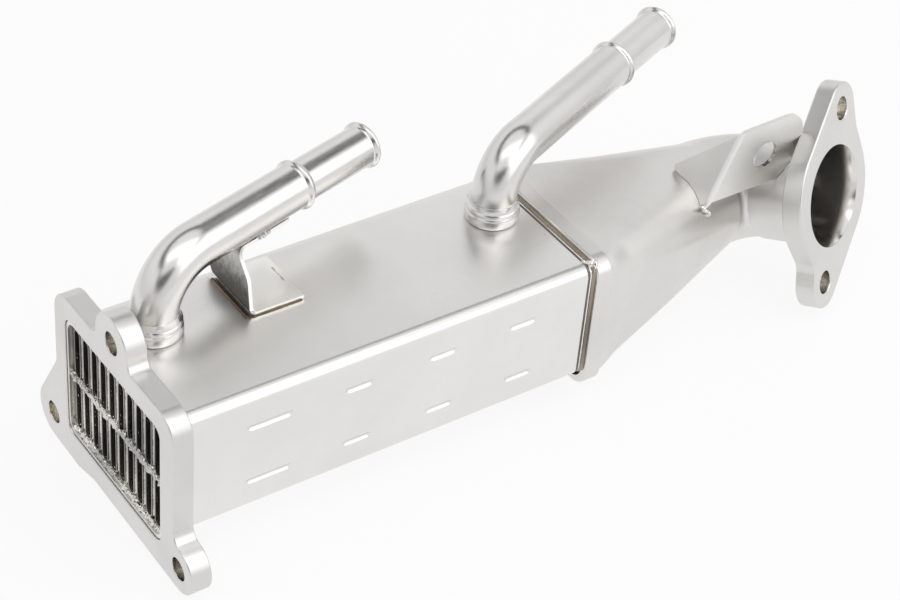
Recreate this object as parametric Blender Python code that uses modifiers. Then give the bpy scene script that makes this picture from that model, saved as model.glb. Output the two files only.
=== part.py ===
"""Exhaust gas cooler: a flat-tube core in a rectangular shell between a bolted inlet flange and a turned outlet.

World frame, in metres: the origin is the centre of the gas opening in the inlet flange's front face.
X runs along the shell towards the outlet, Z is up, and -Y is the side that the outlet turns to.
"""

import math
from dataclasses import dataclass

import bmesh
import bpy
from mathutils import Matrix, Quaternion, Vector

MM = 0.001
GAP = 0.3 * MM

# Shell
SHELL_WIDTH = 74.4 * MM
SHELL_HEIGHT = 56.8 * MM
SHELL_CORNER = 5.0 * MM
SHELL_WALL = 1.2 * MM
SHELL_START = 0.9 * MM
SHELL_LENGTH = 192.7 * MM
SHELL_END = SHELL_START + SHELL_LENGTH

# Inlet flange
INLET_THICKNESS = 9.0 * MM
INLET_HOLE = 4.7 * MM
INLET_EDGE = 0.5 * MM

# Flat-tube core: two rows of tubes fill the shell's inside but for a coolant margin
TUBE_PITCH = 7.0 * MM
TUBE_THICKNESS = 4.8 * MM
TUBE_WALL = 0.45 * MM
TUBE_SIDE_MARGIN = 2.0 * MM
TUBE_END_MARGIN = 2.5 * MM
ROW_GAP = 2.2 * MM
TUBE_START = 2.4 * MM
HEADER_THICKNESS = 1.3 * MM
FRONT_HEADER_X = 3.6 * MM
BAFFLE_THICKNESS = 1.0 * MM

# Seam between the shell and the diffuser: the rear header's rim stands between two grooves of weld
SEAM_FRONT = 1.6 * MM
SEAM_REAR = 1.1 * MM
REAR_HEADER_X = SHELL_END + SEAM_FRONT
COLLAR_START = REAR_HEADER_X + HEADER_THICKNESS + SEAM_REAR

# Stiffening grooves pressed into both sides of the shell
GROOVE_RADIUS = 1.7 * MM
GROOVE_DEPTH = 0.8 * MM
GROOVE_HEIGHTS = (12.8 * MM, -14.2 * MM)
GROOVE_SPANS = ((37.0, 57.0), (80.1, 92.9), (118.3, 131.3), (156.5, 169.5))

# Diffuser and outlet
COLLAR_LENGTH = 8.0 * MM
COLLAR_WIDTH = 77.4 * MM
COLLAR_HEIGHT = 65.4 * MM
COLLAR_CORNER = 8.6 * MM
COLLAR_DROP = 3.2 * MM
CONE_NEAR_CORNER = 12.0 * MM
CONE_FAR_CORNER = 3.5 * MM
DIFFUSER_WALL = 2.0 * MM
ELBOW_ENTRY = 24.6 * MM
ELBOW_MOUTH = 22.0 * MM
ELBOW_RADIUS = 26.0 * MM
ELBOW_STEPS = 9
TAPER_STEPS = 7
FULL_ROUND = 0.995
OUTLET_REACH = 137.1 * MM
OUTLET_OFFSET = 29.1 * MM
OUTLET_HEIGHT = 9.4 * MM
OUTLET_CENTRE = Vector((COLLAR_START + OUTLET_REACH, -OUTLET_OFFSET, OUTLET_HEIGHT))
OUTLET_TURN = math.radians(-67.1)
OUTLET_RISE = math.radians(16.3)
OUTLET_ROLL = math.radians(23.9)
OUTLET_THICKNESS = 9.0 * MM
OUTLET_HOLE_SPACING = 76.0 * MM
OUTLET_HOLE = 5.0 * MM
NECK_LENGTH = 21.5 * MM
NECK_RADIUS = 22.8 * MM
BORE_RADIUS = 20.3 * MM
BORE_LIP = 22.4 * MM

# Coolant pipes: each stands straight on the shell, bends level and ends in a spigot
PIPE_RADIUS = 9.4 * MM
PIPE_WALL = 1.2 * MM
SPIGOT_RADIUS = 8.7 * MM
BEAD_RISE = 1.3 * MM
FRONT_PIPE_X = 25.6 * MM
FRONT_PIPE_Y = 13.3 * MM
FRONT_PIPE_STAND = 29.6 * MM
FRONT_PIPE_BEND = 22.0 * MM
FRONT_PIPE_SHOULDER = 76.0 * MM
FRONT_PIPE_REACH = 116.5 * MM
REAR_PIPE_SETBACK = 14.0 * MM
REAR_PIPE_Y = 11.2 * MM
REAR_PIPE_STAND = 26.5 * MM
REAR_PIPE_BEND = 19.0 * MM
REAR_PIPE_SHOULDER = 92.5 * MM
REAR_PIPE_REACH = 131.5 * MM

# Strap under the front pipe
STRAP_SHEET = 1.6 * MM
STRAP_SETBACK = 35.4 * MM
STRAP_FOOT = 24.0 * MM
STRAP_SEAT = 29.0 * MM

# Tab on the outlet, placed from the centre of the outlet's face
TAB_SHEET = 1.8 * MM
TAB_HOLE = 6.4 * MM
TAB_SETBACK = 12.6 * MM


@dataclass(frozen=True)
class CoolantPipe:
    """One hose pipe: where it stands on the shell, how high and which way it runs."""

    name: str
    foot_x: float
    foot_y: float
    stand: float
    bend: float
    heading: float
    shoulder: float
    reach: float

    @property
    def direction(self):
        """The way the level run points."""
        return Vector((math.cos(self.heading), math.sin(self.heading), 0.0))

    @property
    def corner(self):
        """Where the upright axis and the level axis would cross."""
        return Vector((self.foot_x, self.foot_y, SHELL_HEIGHT / 2 + self.stand))

    def axis(self, below, reach):
        """Return points down the pipe's middle, from a depth below the shell's top to a reach past the corner."""
        foot = Vector((self.foot_x, self.foot_y, SHELL_HEIGHT / 2 - below))
        return filleted_path([foot, self.corner, self.corner + self.direction * reach], [self.bend], 10)


PIPES = (
    CoolantPipe(
        "coolant_pipe_front",
        FRONT_PIPE_X,
        FRONT_PIPE_Y,
        FRONT_PIPE_STAND,
        FRONT_PIPE_BEND,
        math.radians(15.3),
        FRONT_PIPE_SHOULDER,
        FRONT_PIPE_REACH,
    ),
    CoolantPipe(
        "coolant_pipe_rear",
        SHELL_END - REAR_PIPE_SETBACK,
        REAR_PIPE_Y,
        REAR_PIPE_STAND,
        REAR_PIPE_BEND,
        math.radians(22.4),
        REAR_PIPE_SHOULDER,
        REAR_PIPE_REACH,
    ),
)

PARTS = None
CUTTERS = None


# Scene helpers


def clear_scene():
    """Remove everything the start-up file holds."""
    for item in list(bpy.data.objects):
        bpy.data.objects.remove(item, do_unlink=True)
    for group in list(bpy.data.collections):
        bpy.data.collections.remove(group)


def collection(name, shown):
    """Make a collection in the scene; a hidden one holds cutters."""
    group = bpy.data.collections.new(name)
    group.hide_render = not shown
    bpy.context.scene.collection.children.link(group)
    return group


def material(name, colour, roughness, metallic=1.0):
    """Make a Principled material."""
    made = bpy.data.materials.new(name)
    made.use_nodes = True
    shader = made.node_tree.nodes["Principled BSDF"]
    shader.inputs["Base Color"].default_value = (*colour, 1.0)
    shader.inputs["Roughness"].default_value = roughness
    shader.inputs["Metallic"].default_value = metallic
    return made


def mesh_object(name, mesh, group):
    """Put a mesh in the scene as an object of that name."""
    made = bpy.data.objects.new(name, mesh)
    group.objects.link(made)
    if group == CUTTERS:
        made.hide_render = True
        made.display_type = "WIRE"
    return made


def from_curve(name, curve, group, placing):
    """Turn a curve into a welded mesh object placed by a matrix."""
    guide = bpy.data.objects.new(name + "_guide", curve)
    bpy.context.scene.collection.objects.link(guide)
    graph = bpy.context.evaluated_depsgraph_get()
    mesh = bpy.data.meshes.new_from_object(guide.evaluated_get(graph))
    mesh.name = name
    bpy.data.objects.remove(guide, do_unlink=True)
    bpy.data.curves.remove(curve)
    weld(mesh)
    made = mesh_object(name, mesh, group)
    made.matrix_world = placing
    return made


def weld(mesh):
    """Join the points that a cap and its wall share, and turn every face outwards."""
    work = bmesh.new()
    work.from_mesh(mesh)
    bmesh.ops.remove_doubles(work, verts=work.verts, dist=0.000001)
    bmesh.ops.recalc_face_normals(work, faces=work.faces)
    work.to_mesh(mesh)
    work.free()


def boolean(target, tool, operation="DIFFERENCE"):
    """Add an exact Boolean of the tool to the target."""
    step = target.modifiers.new(operation.title(), "BOOLEAN")
    step.operation = operation
    step.solver = "EXACT"
    step.object = tool


def finish(target, metal, degrees=35.0):
    """Settle a piece's modifiers into its mesh, give it its metal and shade only its round faces smooth."""
    graph = bpy.context.evaluated_depsgraph_get()
    settled = bpy.data.meshes.new_from_object(target.evaluated_get(graph))
    settled.name = target.name
    target.modifiers.clear()
    target.data = settled
    settled.materials.clear()
    settled.materials.append(metal)
    settled.shade_smooth()
    settled.set_sharp_from_angle(angle=math.radians(degrees))
    flat = target.modifiers.new("Flat faces", "WEIGHTED_NORMAL")
    flat.keep_sharp = True


# Outlines


def belt(pulleys, segments=24):
    """Return the outline of a belt run anticlockwise round pulleys.

    Each pulley is (x, y, radius). A negative radius lies outside the belt and hollows the outline.
    """
    count = len(pulleys)
    tangents = []
    for index, (x, y, radius) in enumerate(pulleys):
        next_x, next_y, next_radius = pulleys[(index + 1) % count]
        along = math.atan2(next_y - y, next_x - x)
        distance = math.hypot(next_x - x, next_y - y)
        tangents.append(along - math.acos((radius - next_radius) / distance))
    points = []
    for index, (x, y, radius) in enumerate(pulleys):
        start = tangents[index - 1]
        sweep = (tangents[index] - start) % math.tau
        if radius < 0.0:
            sweep -= math.tau
        steps = max(1, round(abs(sweep) / math.tau * segments))
        for step in range(steps + 1):
            angle = start + sweep * step / steps
            points.append((x + radius * math.cos(angle), y + radius * math.sin(angle)))
    return points


def rounded_box(width, height, corner, segments=24, centre=(0.0, 0.0)):
    """Return a rectangle with round corners."""
    x, y = centre
    half_x = width / 2 - corner
    half_y = height / 2 - corner
    corners = ((half_x, half_y), (-half_x, half_y), (-half_x, -half_y), (half_x, -half_y))
    return belt([(x + dx, y + dy, corner) for dx, dy in corners], segments)


def circle(x, y, radius, segments=24):
    """Return a circle as an outline."""
    turns = (math.tau * step / segments for step in range(segments))
    return [(x + radius * math.cos(turn), y + radius * math.sin(turn)) for turn in turns]


def flat_plate(name, outlines, thickness, placing, group=None, edge=0.0):
    """Extrude outlines by a thickness from the placing's XY plane; inner outlines become holes."""
    curve = bpy.data.curves.new(name, "CURVE")
    curve.dimensions = "2D"
    curve.fill_mode = "BOTH"
    curve.extrude = thickness / 2 - edge
    curve.bevel_depth = edge
    curve.offset = -edge
    curve.bevel_resolution = 0
    for outline in outlines:
        spline = curve.splines.new("POLY")
        spline.points.add(len(outline) - 1)
        spline.use_cyclic_u = True
        for point, (x, y) in zip(spline.points, outline):
            point.co = (x, y, 0.0, 1.0)
    centred = placing @ Matrix.Translation((0.0, 0.0, thickness / 2))
    return from_curve(name, curve, group or PARTS, centred)


def across(x):
    """Return the placing of a plate that stands across the shell at x: plate X is world Y, plate Y is world Z."""
    return Matrix.Translation((x, 0.0, 0.0)) @ Matrix(((0, 0, 1, 0), (1, 0, 0, 0), (0, 1, 0, 0), (0, 0, 0, 1)))


def axes_at(origin, along, up):
    """Return the placing whose Z runs along a direction and whose Y leans to another."""
    z_axis = along.normalized()
    x_axis = up.cross(z_axis).normalized()
    y_axis = z_axis.cross(x_axis)
    turn = Matrix((x_axis, y_axis, z_axis)).transposed().to_4x4()
    return Matrix.Translation(origin) @ turn


# Swept shapes


def filleted_path(points, radii, steps):
    """Return points along straight runs joined by arcs, one radius for each inner corner."""
    path = [points[0]]
    for before, corner, after, radius in zip(points, points[1:], points[2:], radii):
        inward = (before - corner).normalized()
        outward = (after - corner).normalized()
        half_angle = inward.angle(outward) / 2
        reach = radius / math.tan(half_angle)
        centre = corner + (inward + outward).normalized() * radius / math.sin(half_angle)
        start = corner + inward * reach - centre
        end = corner + outward * reach - centre
        axis = start.cross(end).normalized()
        sweep = start.angle(end)
        for step in range(steps + 1):
            turn = Matrix.Rotation(sweep * step / steps, 3, axis)
            path.append(centre + turn @ start)
    path.append(points[-1])
    return path


def tube_along(name, path, radii, segments, group):
    """Sweep a round section along a path, one radius for each point of it."""
    curve = bpy.data.curves.new(name, "CURVE")
    curve.dimensions = "3D"
    curve.bevel_depth = 1.0
    curve.bevel_resolution = segments // 4 - 1
    curve.use_fill_caps = True
    spline = curve.splines.new("POLY")
    spline.points.add(len(path) - 1)
    for point, place, radius in zip(spline.points, path, radii):
        point.co = (*place, 1.0)
        point.radius = radius
    return from_curve(name, curve, group, Matrix.Identity(4))


def turned(name, profile, placing, segments, group=None):
    """Spin a closed profile of (radius, height) about the placing's Z axis."""
    mesh = bpy.data.meshes.new(name)
    points = [(radius, 0.0, height) for radius, height in profile]
    edges = [(index, (index + 1) % len(points)) for index in range(len(points))]
    mesh.from_pydata(points, edges, [])
    made = mesh_object(name, mesh, group or PARTS)
    made.matrix_world = placing
    spin = made.modifiers.new("Spin", "SCREW")
    spin.axis = "Z"
    spin.angle = math.tau
    spin.steps = segments
    spin.render_steps = segments
    spin.use_merge_vertices = True
    spin.merge_threshold = 0.00001
    return made


# Pieces


def off_corner(right, upper, out_y, out_z):
    """Return a point (y, z) that far out from a corner of the gas opening; right and upper are 1 or -1."""
    return right * (SHELL_WIDTH / 2 + out_y), upper * (SHELL_HEIGHT / 2 + out_z)


def inlet_flange(metal):
    """The thick plate the cooler bolts on by: three ears round the gas opening."""
    top = (-0.5 * MM, SHELL_HEIGHT / 2 + 14.2 * MM)
    near = off_corner(-1, -1, 13.6 * MM, 1.3 * MM)
    far = off_corner(1, -1, 12.4 * MM, 1.2 * MM)
    waist = 16.2 * MM
    outline = belt(
        (
            (*off_corner(1, 1, -1.6 * MM, 0.0), 9.8 * MM),
            (top[0] + waist, top[1] - 0.4 * MM, -4.0 * MM),
            (*top, 12.2 * MM),
            (top[0] - waist, top[1] - 0.4 * MM, -4.0 * MM),
            (*off_corner(-1, 1, -0.2 * MM, -0.2 * MM), 10.0 * MM),
            (*off_corner(-1, -1, 14.8 * MM, -14.1 * MM), -5.0 * MM),
            (*near, 10.4 * MM),
            (*off_corner(1, -1, -22.2 * MM, 16.6 * MM), -6.0 * MM),
            (*off_corner(1, -1, -7.2 * MM, 3.4 * MM), 10.4 * MM),
            (*far, 11.9 * MM),
            (*off_corner(1, -1, 16.3 * MM, -31.4 * MM), -8.0 * MM),
        ),
        segments=44,
    )
    opening = rounded_box(SHELL_WIDTH + 2 * GAP, SHELL_HEIGHT + 2 * GAP, SHELL_CORNER + GAP, 24)
    holes = [circle(y, z, INLET_HOLE) for y, z in (top, near, far)]
    made = flat_plate("inlet_flange", [outline, opening, *holes], INLET_THICKNESS, across(0.0), edge=INLET_EDGE)
    finish(made, metal)


def shell(metal):
    """The thin rectangular box round the core, grooved on both sides and holed for the pipes."""
    outer = rounded_box(SHELL_WIDTH, SHELL_HEIGHT, SHELL_CORNER, 24)
    inner = rounded_box(
        SHELL_WIDTH - 2 * SHELL_WALL, SHELL_HEIGHT - 2 * SHELL_WALL, SHELL_CORNER - SHELL_WALL, 16
    )
    made = flat_plate("body_shell", [outer, inner], SHELL_END - SHELL_START, across(SHELL_START))
    grooves = [
        groove_cutter(side, height, start * MM, end * MM)
        for side in (-1.0, 1.0)
        for height in GROOVE_HEIGHTS
        for start, end in GROOVE_SPANS
    ]
    for groove in grooves:
        boolean(made, groove)
    for pipe in PIPES:
        foot = Vector((pipe.foot_x, pipe.foot_y, SHELL_HEIGHT / 2 - 3 * SHELL_WALL))
        top = foot + Vector((0.0, 0.0, 6 * SHELL_WALL))
        reach = PIPE_RADIUS + GAP
        boolean(made, tube_along(pipe.name + "_hole", [foot, top], [reach, reach], 32, CUTTERS))
    finish(made, metal)


def groove_cutter(side, height, start, end):
    """A blunt-ended rod that bites a groove into one side of the shell."""
    out = side * (SHELL_WIDTH / 2 + GROOVE_RADIUS - GROOVE_DEPTH)
    taper = GROOVE_RADIUS
    path = [Vector((x, out, height)) for x in (start, start + taper, end - taper, end)]
    radii = [GROOVE_RADIUS - 0.9 * GROOVE_DEPTH, GROOVE_RADIUS, GROOVE_RADIUS, GROOVE_RADIUS - 0.9 * GROOVE_DEPTH]
    return tube_along("groove_cutter", path, radii, 12, CUTTERS)


def tube_height():
    """The height of a flat tube, so that two rows fill the shell."""
    return (SHELL_HEIGHT - ROW_GAP) / 2 - SHELL_WALL - TUBE_END_MARGIN


def tube_places():
    """Yield the number, the row and the centre (y, z) of each flat tube."""
    room = SHELL_WIDTH - 2 * (SHELL_WALL + TUBE_SIDE_MARGIN) - TUBE_THICKNESS
    count = int(room / TUBE_PITCH) + 1
    half_pitch = (tube_height() + ROW_GAP) / 2
    for row, z in enumerate((half_pitch, -half_pitch)):
        for column in range(count):
            yield row * count + column + 1, row, ((count - 1) / 2 - column) * TUBE_PITCH, z


def tube_outline(y, z, inset, segments=8):
    """The rounded slot shape of a flat tube, drawn in by an inset."""
    end = TUBE_THICKNESS / 2 - inset
    reach = (tube_height() - TUBE_THICKNESS) / 2
    return belt(((y, z + reach, end), (y, z - reach, end)), segments)


def flat_tubes(metal):
    """The gas passages: two rows of tall flat tubes from header to header."""
    for number, _, y, z in tube_places():
        walls = [tube_outline(y, z, 0.0), tube_outline(y, z, TUBE_WALL)]
        made = flat_plate(f"flat_tube_{number:02d}", walls, COLLAR_START - TUBE_START, across(TUBE_START))
        finish(made, metal)


def core_plate(name, outline, x, thickness, metal, rows=(0, 1)):
    """A plate across the core with one slot for each tube of the rows it meets."""
    slots = [tube_outline(y, z, -GAP) for _, row, y, z in tube_places() if row in rows]
    made = flat_plate(name, [outline, *slots], thickness, across(x))
    finish(made, metal)


def core_plates(metal):
    """Two headers that close the coolant space, and two baffles that guide the coolant."""
    room = 2 * (SHELL_WALL + GAP)
    inside = rounded_box(SHELL_WIDTH - room, SHELL_HEIGHT - room, SHELL_CORNER - SHELL_WALL - GAP, 24)
    core_plate("front_header", inside, FRONT_HEADER_X, HEADER_THICKNESS, metal)
    rim = 0.5 * MM
    seam = rounded_box(SHELL_WIDTH - 2 * rim, SHELL_HEIGHT - 2 * rim, SHELL_CORNER - rim, 24)
    core_plate("rear_header", seam, REAR_HEADER_X, HEADER_THICKNESS, metal)
    lap = 0.6 * MM
    reach = SHELL_HEIGHT / 2 - room / 2
    for name, row, share in (("front_baffle", 1, 0.36), ("rear_baffle", 0, 0.66)):
        middle = (reach - lap) / 2 if row == 0 else (lap - reach) / 2
        half = rounded_box(SHELL_WIDTH - room, reach + lap, 3 * MM, 16, (0.0, middle))
        core_plate(name, half, share * SHELL_END, BAFFLE_THICKNESS, metal, rows=(row,))


def coolant_pipe(pipe, metal):
    """A bent hose pipe with a shoulder bead, a narrower spigot and an end bead."""
    path = pipe.axis(SHELL_WALL, pipe.shoulder)[:-1]
    radii = [PIPE_RADIUS] * len(path)
    shoulder = bead(PIPE_RADIUS, PIPE_RADIUS + BEAD_RISE, SPIGOT_RADIUS, 2.0 * MM)
    end = bead(SPIGOT_RADIUS, SPIGOT_RADIUS + BEAD_RISE, SPIGOT_RADIUS, 1.8 * MM)
    lip = 2.2 * MM
    for place, form in ((pipe.shoulder, shoulder), (pipe.reach - lip, end)):
        for step, radius in form:
            path.append(pipe.corner + pipe.direction * (place + step))
            radii.append(radius)
    path.append(pipe.corner + pipe.direction * pipe.reach)
    radii.append(SPIGOT_RADIUS - 0.4 * MM)
    made = tube_along(pipe.name, path, radii, 24, PARTS)

    over = 1.0 * MM
    bore_path = pipe.axis(SHELL_WALL + over, pipe.reach + over)
    bore_path.insert(-1, pipe.corner + pipe.direction * pipe.shoulder)
    bore = [PIPE_RADIUS - PIPE_WALL] * (len(bore_path) - 2) + [SPIGOT_RADIUS - PIPE_WALL] * 2
    boolean(made, tube_along(pipe.name + "_bore", bore_path, bore, 16, CUTTERS))
    finish(made, metal, 50.0)


def bead(before, crest, after, half_length):
    """Return (distance, radius) pairs across a rolled bead."""
    flank = 0.7 * half_length
    mid = 0.75 * crest
    return (
        (-half_length, before),
        (-flank, mid + 0.25 * before),
        (-0.35 * half_length, crest),
        (0.35 * half_length, crest),
        (flank, mid + 0.25 * after),
        (half_length, after),
    )


def pipe_collar(pipe, metal):
    """The brazed ferrule round the foot of a pipe: a wide band, a narrow band and a fillet of braze."""
    wide_band = ((0.4, 0.0), (1.2, 0.6), (1.6, 1.6), (1.6, 4.6), (1.0, 5.2))
    narrow_band = ((1.3, 5.8), (1.3, 6.9), (0.7, 7.4))
    bands = (*wide_band, *narrow_band, (0.3, 9.0))
    profile = [(PIPE_RADIUS + GAP + rise * MM, height * MM) for rise, height in reversed(bands)]
    core = PIPE_RADIUS - PIPE_WALL
    profile = [(core, 0.0), (core, bands[-1][1] * MM), *profile]
    seat = Vector((pipe.foot_x, pipe.foot_y, SHELL_HEIGHT / 2 + GAP))
    made = turned(pipe.name.replace("pipe", "collar"), profile, Matrix.Translation(seat), 24)
    path = pipe.axis(SHELL_WALL, pipe.shoulder)
    boolean(made, tube_along(pipe.name + "_clearance", path, [PIPE_RADIUS + GAP] * len(path), 24, CUTTERS))
    finish(made, metal)


def outlet_axis():
    """The way the outlet faces."""
    level = math.cos(OUTLET_RISE)
    return Vector((level * math.cos(OUTLET_TURN), level * math.sin(OUTLET_TURN), math.sin(OUTLET_RISE)))


def outlet_placing(depth):
    """The placing of the outlet's turned shapes: Z faces out, Y runs through the bolt holes, depth is behind the face."""
    axis = outlet_axis()
    upright = axes_at(OUTLET_CENTRE - axis * depth, axis, Vector((0.0, 0.0, 1.0)))
    return upright @ Matrix.Rotation(-OUTLET_ROLL, 4, "Z")


def loft(name, rings, group):
    """Skin a stack of rings with equal point counts and close both ends."""
    count = len(rings[0])
    points = [point for ring in rings for point in ring]
    faces = [tuple(range(count))[::-1], tuple(range(len(points) - count, len(points)))]
    for index in range(len(rings) - 1):
        low, high = index * count, (index + 1) * count
        for side in range(count):
            after = (side + 1) % count
            faces.append((low + side, low + after, high + after, high + side))
    mesh = bpy.data.meshes.new(name)
    mesh.from_pydata(points, [], faces)
    weld(mesh)
    return mesh_object(name, mesh, group)


def section(centre, heading, half_width, half_height, far_corner, near_corner, segments=9):
    """Return a rounded box of points across a heading; corners near the half sizes make it a circle."""
    turn = Vector((1.0, 0.0, 0.0)).rotation_difference(heading)
    ring = []
    for quarter in range(4):
        side = (1, -1, -1, 1)[quarter]
        rise = (1, 1, -1, -1)[quarter]
        corner = far_corner if side > 0 else near_corner
        for step in range(segments):
            angle = math.tau * (quarter + (step + 0.5) / segments) / 4
            y = side * (half_width - corner) + corner * math.cos(angle)
            z = rise * (half_height - corner) + corner * math.sin(angle)
            ring.append(centre + turn @ Vector((0.0, y, z)))
    return ring


def diffuser_rings(inset):
    """Return the rings of the diffuser's outer skin, or of its bore when inset by the wall."""
    axis = outlet_axis()
    mouth = OUTLET_CENTRE - axis * (OUTLET_THICKNESS + NECK_LENGTH)
    forward = Vector((1.0, 0.0, 0.0))
    half_width = COLLAR_WIDTH / 2 - inset
    half_height = COLLAR_HEIGHT / 2 - inset
    shoulder = 1.0 * MM
    rings = []
    for reach, shy in ((0.0, shoulder), (shoulder, 0.0), (COLLAR_LENGTH - shoulder, 0.0), (COLLAR_LENGTH, shoulder)):
        centre = Vector((COLLAR_START + reach, 0.0, -COLLAR_DROP))
        corners = [COLLAR_CORNER - inset] * 2
        rings.append(section(centre, forward, half_width - shy, half_height - shy, *corners))
    entry = Vector((COLLAR_START + COLLAR_LENGTH, 0.0, -COLLAR_DROP))
    bend = elbow_corner(entry, mouth, axis)
    arc = filleted_path([entry, bend, mouth], [ELBOW_RADIUS], ELBOW_STEPS)[1:-1]
    straight = (arc[0] - entry).normalized()
    for step in range(1, TAPER_STEPS + 1):
        share = step / TAPER_STEPS
        width = mix(half_width - shoulder, ELBOW_ENTRY - inset, share)
        height = mix(half_height - shoulder, ELBOW_ENTRY - inset, share)
        full = FULL_ROUND * (ELBOW_ENTRY - inset)
        corners = [mix(corner - inset, full, share) for corner in (CONE_FAR_CORNER, CONE_NEAR_CORNER)]
        heading = forward.lerp(straight, min(1.0, 2.0 * share)).normalized()
        rings.append(section(entry.lerp(arc[0], share), heading, width, height, *corners))
    sweep = straight.rotation_difference(axis)
    for step in range(1, ELBOW_STEPS + 1):
        share = step / ELBOW_STEPS
        heading = Quaternion().slerp(sweep, share) @ straight
        radius = mix(ELBOW_ENTRY, ELBOW_MOUTH, share) - inset
        rings.append(section(arc[step], heading, radius, radius, FULL_ROUND * radius, FULL_ROUND * radius))
    return rings


def mix(start, end, share):
    """Return the value a share of the way from start to end."""
    return start + (end - start) * share


def elbow_corner(entry, mouth, axis):
    """Return where the straight run meets the outlet axis, so that the arc ends at the mouth."""
    back = ELBOW_RADIUS * 0.6
    for _ in range(12):
        corner = mouth - axis * back
        half_turn = (corner - entry).angle(axis) / 2
        back = ELBOW_RADIUS * math.tan(half_turn)
    return mouth - axis * back


def diffuser(metal):
    """The sheet duct that narrows from the shell's section to a round mouth and turns to the outlet."""
    made = loft("diffuser", diffuser_rings(0.0), PARTS)
    bore = diffuser_rings(DIFFUSER_WALL)
    over = 2.0 * MM
    bore.insert(0, [point - Vector((over, 0.0, 0.0)) for point in bore[0]])
    bore.append([point + outlet_axis() * over for point in bore[-1]])
    boolean(made, loft("diffuser_bore", bore, CUTTERS))
    finish(made, metal)


def neck_profile(growth):
    """Return the outline the neck is turned from, grown outwards by a clearance."""
    root = 3.0 * MM
    top = NECK_LENGTH + OUTLET_THICKNESS - 2.0 * MM
    radius = NECK_RADIUS + growth
    return (
        (0.0, GAP - growth),
        (0.0, top),
        (radius + root, top),
        (radius + root, NECK_LENGTH - growth),
        (radius + 0.3 * root, NECK_LENGTH - 0.3 * root - growth),
        (radius, NECK_LENGTH - root - growth),
        (radius, 0.6 * MM),
        (radius - 0.4 * MM, GAP - growth),
    )


def outlet_outline(growth):
    """Return the outline of the two-bolt outlet flange, grown by a clearance."""
    half = OUTLET_HOLE_SPACING / 2
    pulleys = (
        (0.0, half, 11.6 * MM),
        (-1.5 * MM, 0.5 * MM, 30.5 * MM),
        (-19.5 * MM, -34.5 * MM, -7.5 * MM),
        (0.0, -half, 11.6 * MM),
        (1.0 * MM, 0.5 * MM, 30.6 * MM),
        (20.5 * MM, 33.0 * MM, -5.0 * MM),
    )
    return belt([(x, y, radius + growth) for x, y, radius in pulleys], 44)


def outlet_flange(metal):
    """The cast outlet: a two-bolt flange and its neck in one piece, with a coned lip in the bore."""
    holes = [circle(0.0, side * OUTLET_HOLE_SPACING / 2, OUTLET_HOLE) for side in (1, -1)]
    face = outlet_placing(OUTLET_THICKNESS)
    made = flat_plate("outlet_flange", [outlet_outline(0.0), *holes], OUTLET_THICKNESS, face, edge=0.5 * MM)
    back = NECK_LENGTH + OUTLET_THICKNESS
    boolean(made, turned("outlet_neck", neck_profile(0.0), outlet_placing(back), 40, CUTTERS), "UNION")
    bore = (
        (0.0, -1.0 * MM),
        (0.0, back + 1.0 * MM),
        (BORE_LIP + 0.2 * MM, back + 1.0 * MM),
        (BORE_LIP, back - 1.0 * MM),
        (BORE_RADIUS, back - 5.0 * MM),
        (BORE_RADIUS, -1.0 * MM),
    )
    boolean(made, turned("outlet_bore", bore, outlet_placing(back), 40, CUTTERS))
    finish(made, metal)


def sheet_between(name, lower, upper, radii, thickness, side):
    """Make a bent sheet from its two long edges; the metal lies on one side (1 or -1) of the face between them."""
    steps = 5
    edges = zip(filleted_path(lower, radii, steps), filleted_path(upper, radii, steps))
    points = [point for pair in edges for point in pair]
    faces = [(i, i + 1, i + 3, i + 2) for i in range(0, len(points) - 2, 2)]
    mesh = bpy.data.meshes.new(name)
    mesh.from_pydata(points, [], faces)
    made = mesh_object(name, mesh, PARTS)
    skin = made.modifiers.new("Thickness", "SOLIDIFY")
    skin.thickness = thickness
    skin.offset = side
    skin.use_even_offset = True
    return made


def front_bracket(metal):
    """The bent strap that carries the front hose pipe: a foot on the shell, a leaning wall and a seat."""
    pipe = PIPES[0]
    foot_z = SHELL_HEIGHT / 2 + GAP
    seat_z = pipe.corner.z - PIPE_RADIUS - GAP
    foot_x = pipe.foot_x + STRAP_SETBACK
    lean = 3.5 * MM
    seat_x = foot_x + lean

    def edge(foot_y, knee_y, knee, seat_off):
        """One long edge from the foot's end to the seat's end, with a knee at a share of the wall's height."""
        axis_y = pipe.foot_y + (seat_x - pipe.foot_x) * math.tan(pipe.heading)
        seat = Vector((seat_x, axis_y + seat_off, seat_z))
        return [
            Vector((foot_x + STRAP_FOOT, pipe.foot_y + foot_y, foot_z)),
            Vector((foot_x, pipe.foot_y + foot_y, foot_z)),
            Vector((foot_x + knee * lean, pipe.foot_y + knee_y, mix(foot_z, seat_z, knee))),
            seat,
            seat + pipe.direction * STRAP_SEAT,
        ]

    near = edge(-11.0 * MM, -4.9 * MM, 0.62, -4.9 * MM)
    far = edge(17.0 * MM, 23.5 * MM, 0.28, 13.0 * MM)
    radii = [2.6 * MM, 6.0 * MM, 6.0 * MM]
    made = sheet_between("front_pipe_bracket", near, far, radii, STRAP_SHEET, 1.0)
    finish(made, metal)


def folded_sheet(name, leg, wing, bend):
    """Make a sheet of two flat outlines that share their first and last points, with a round bend where they meet."""
    points = leg + wing[1:-1]
    back = (0, len(leg) - 1, *range(len(points) - 1, len(leg) - 1, -1))
    mesh = bpy.data.meshes.new(name)
    mesh.from_pydata(points, [], [tuple(range(len(leg))), back])
    made = mesh_object(name, mesh, PARTS)
    fold = made.modifiers.new("Fold", "BEVEL")
    fold.width = bend
    fold.segments = 4
    fold.limit_method = "ANGLE"
    skin = made.modifiers.new("Thickness", "SOLIDIFY")
    skin.thickness = TAB_SHEET
    skin.offset = -1.0
    skin.use_even_offset = True
    return made


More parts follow.
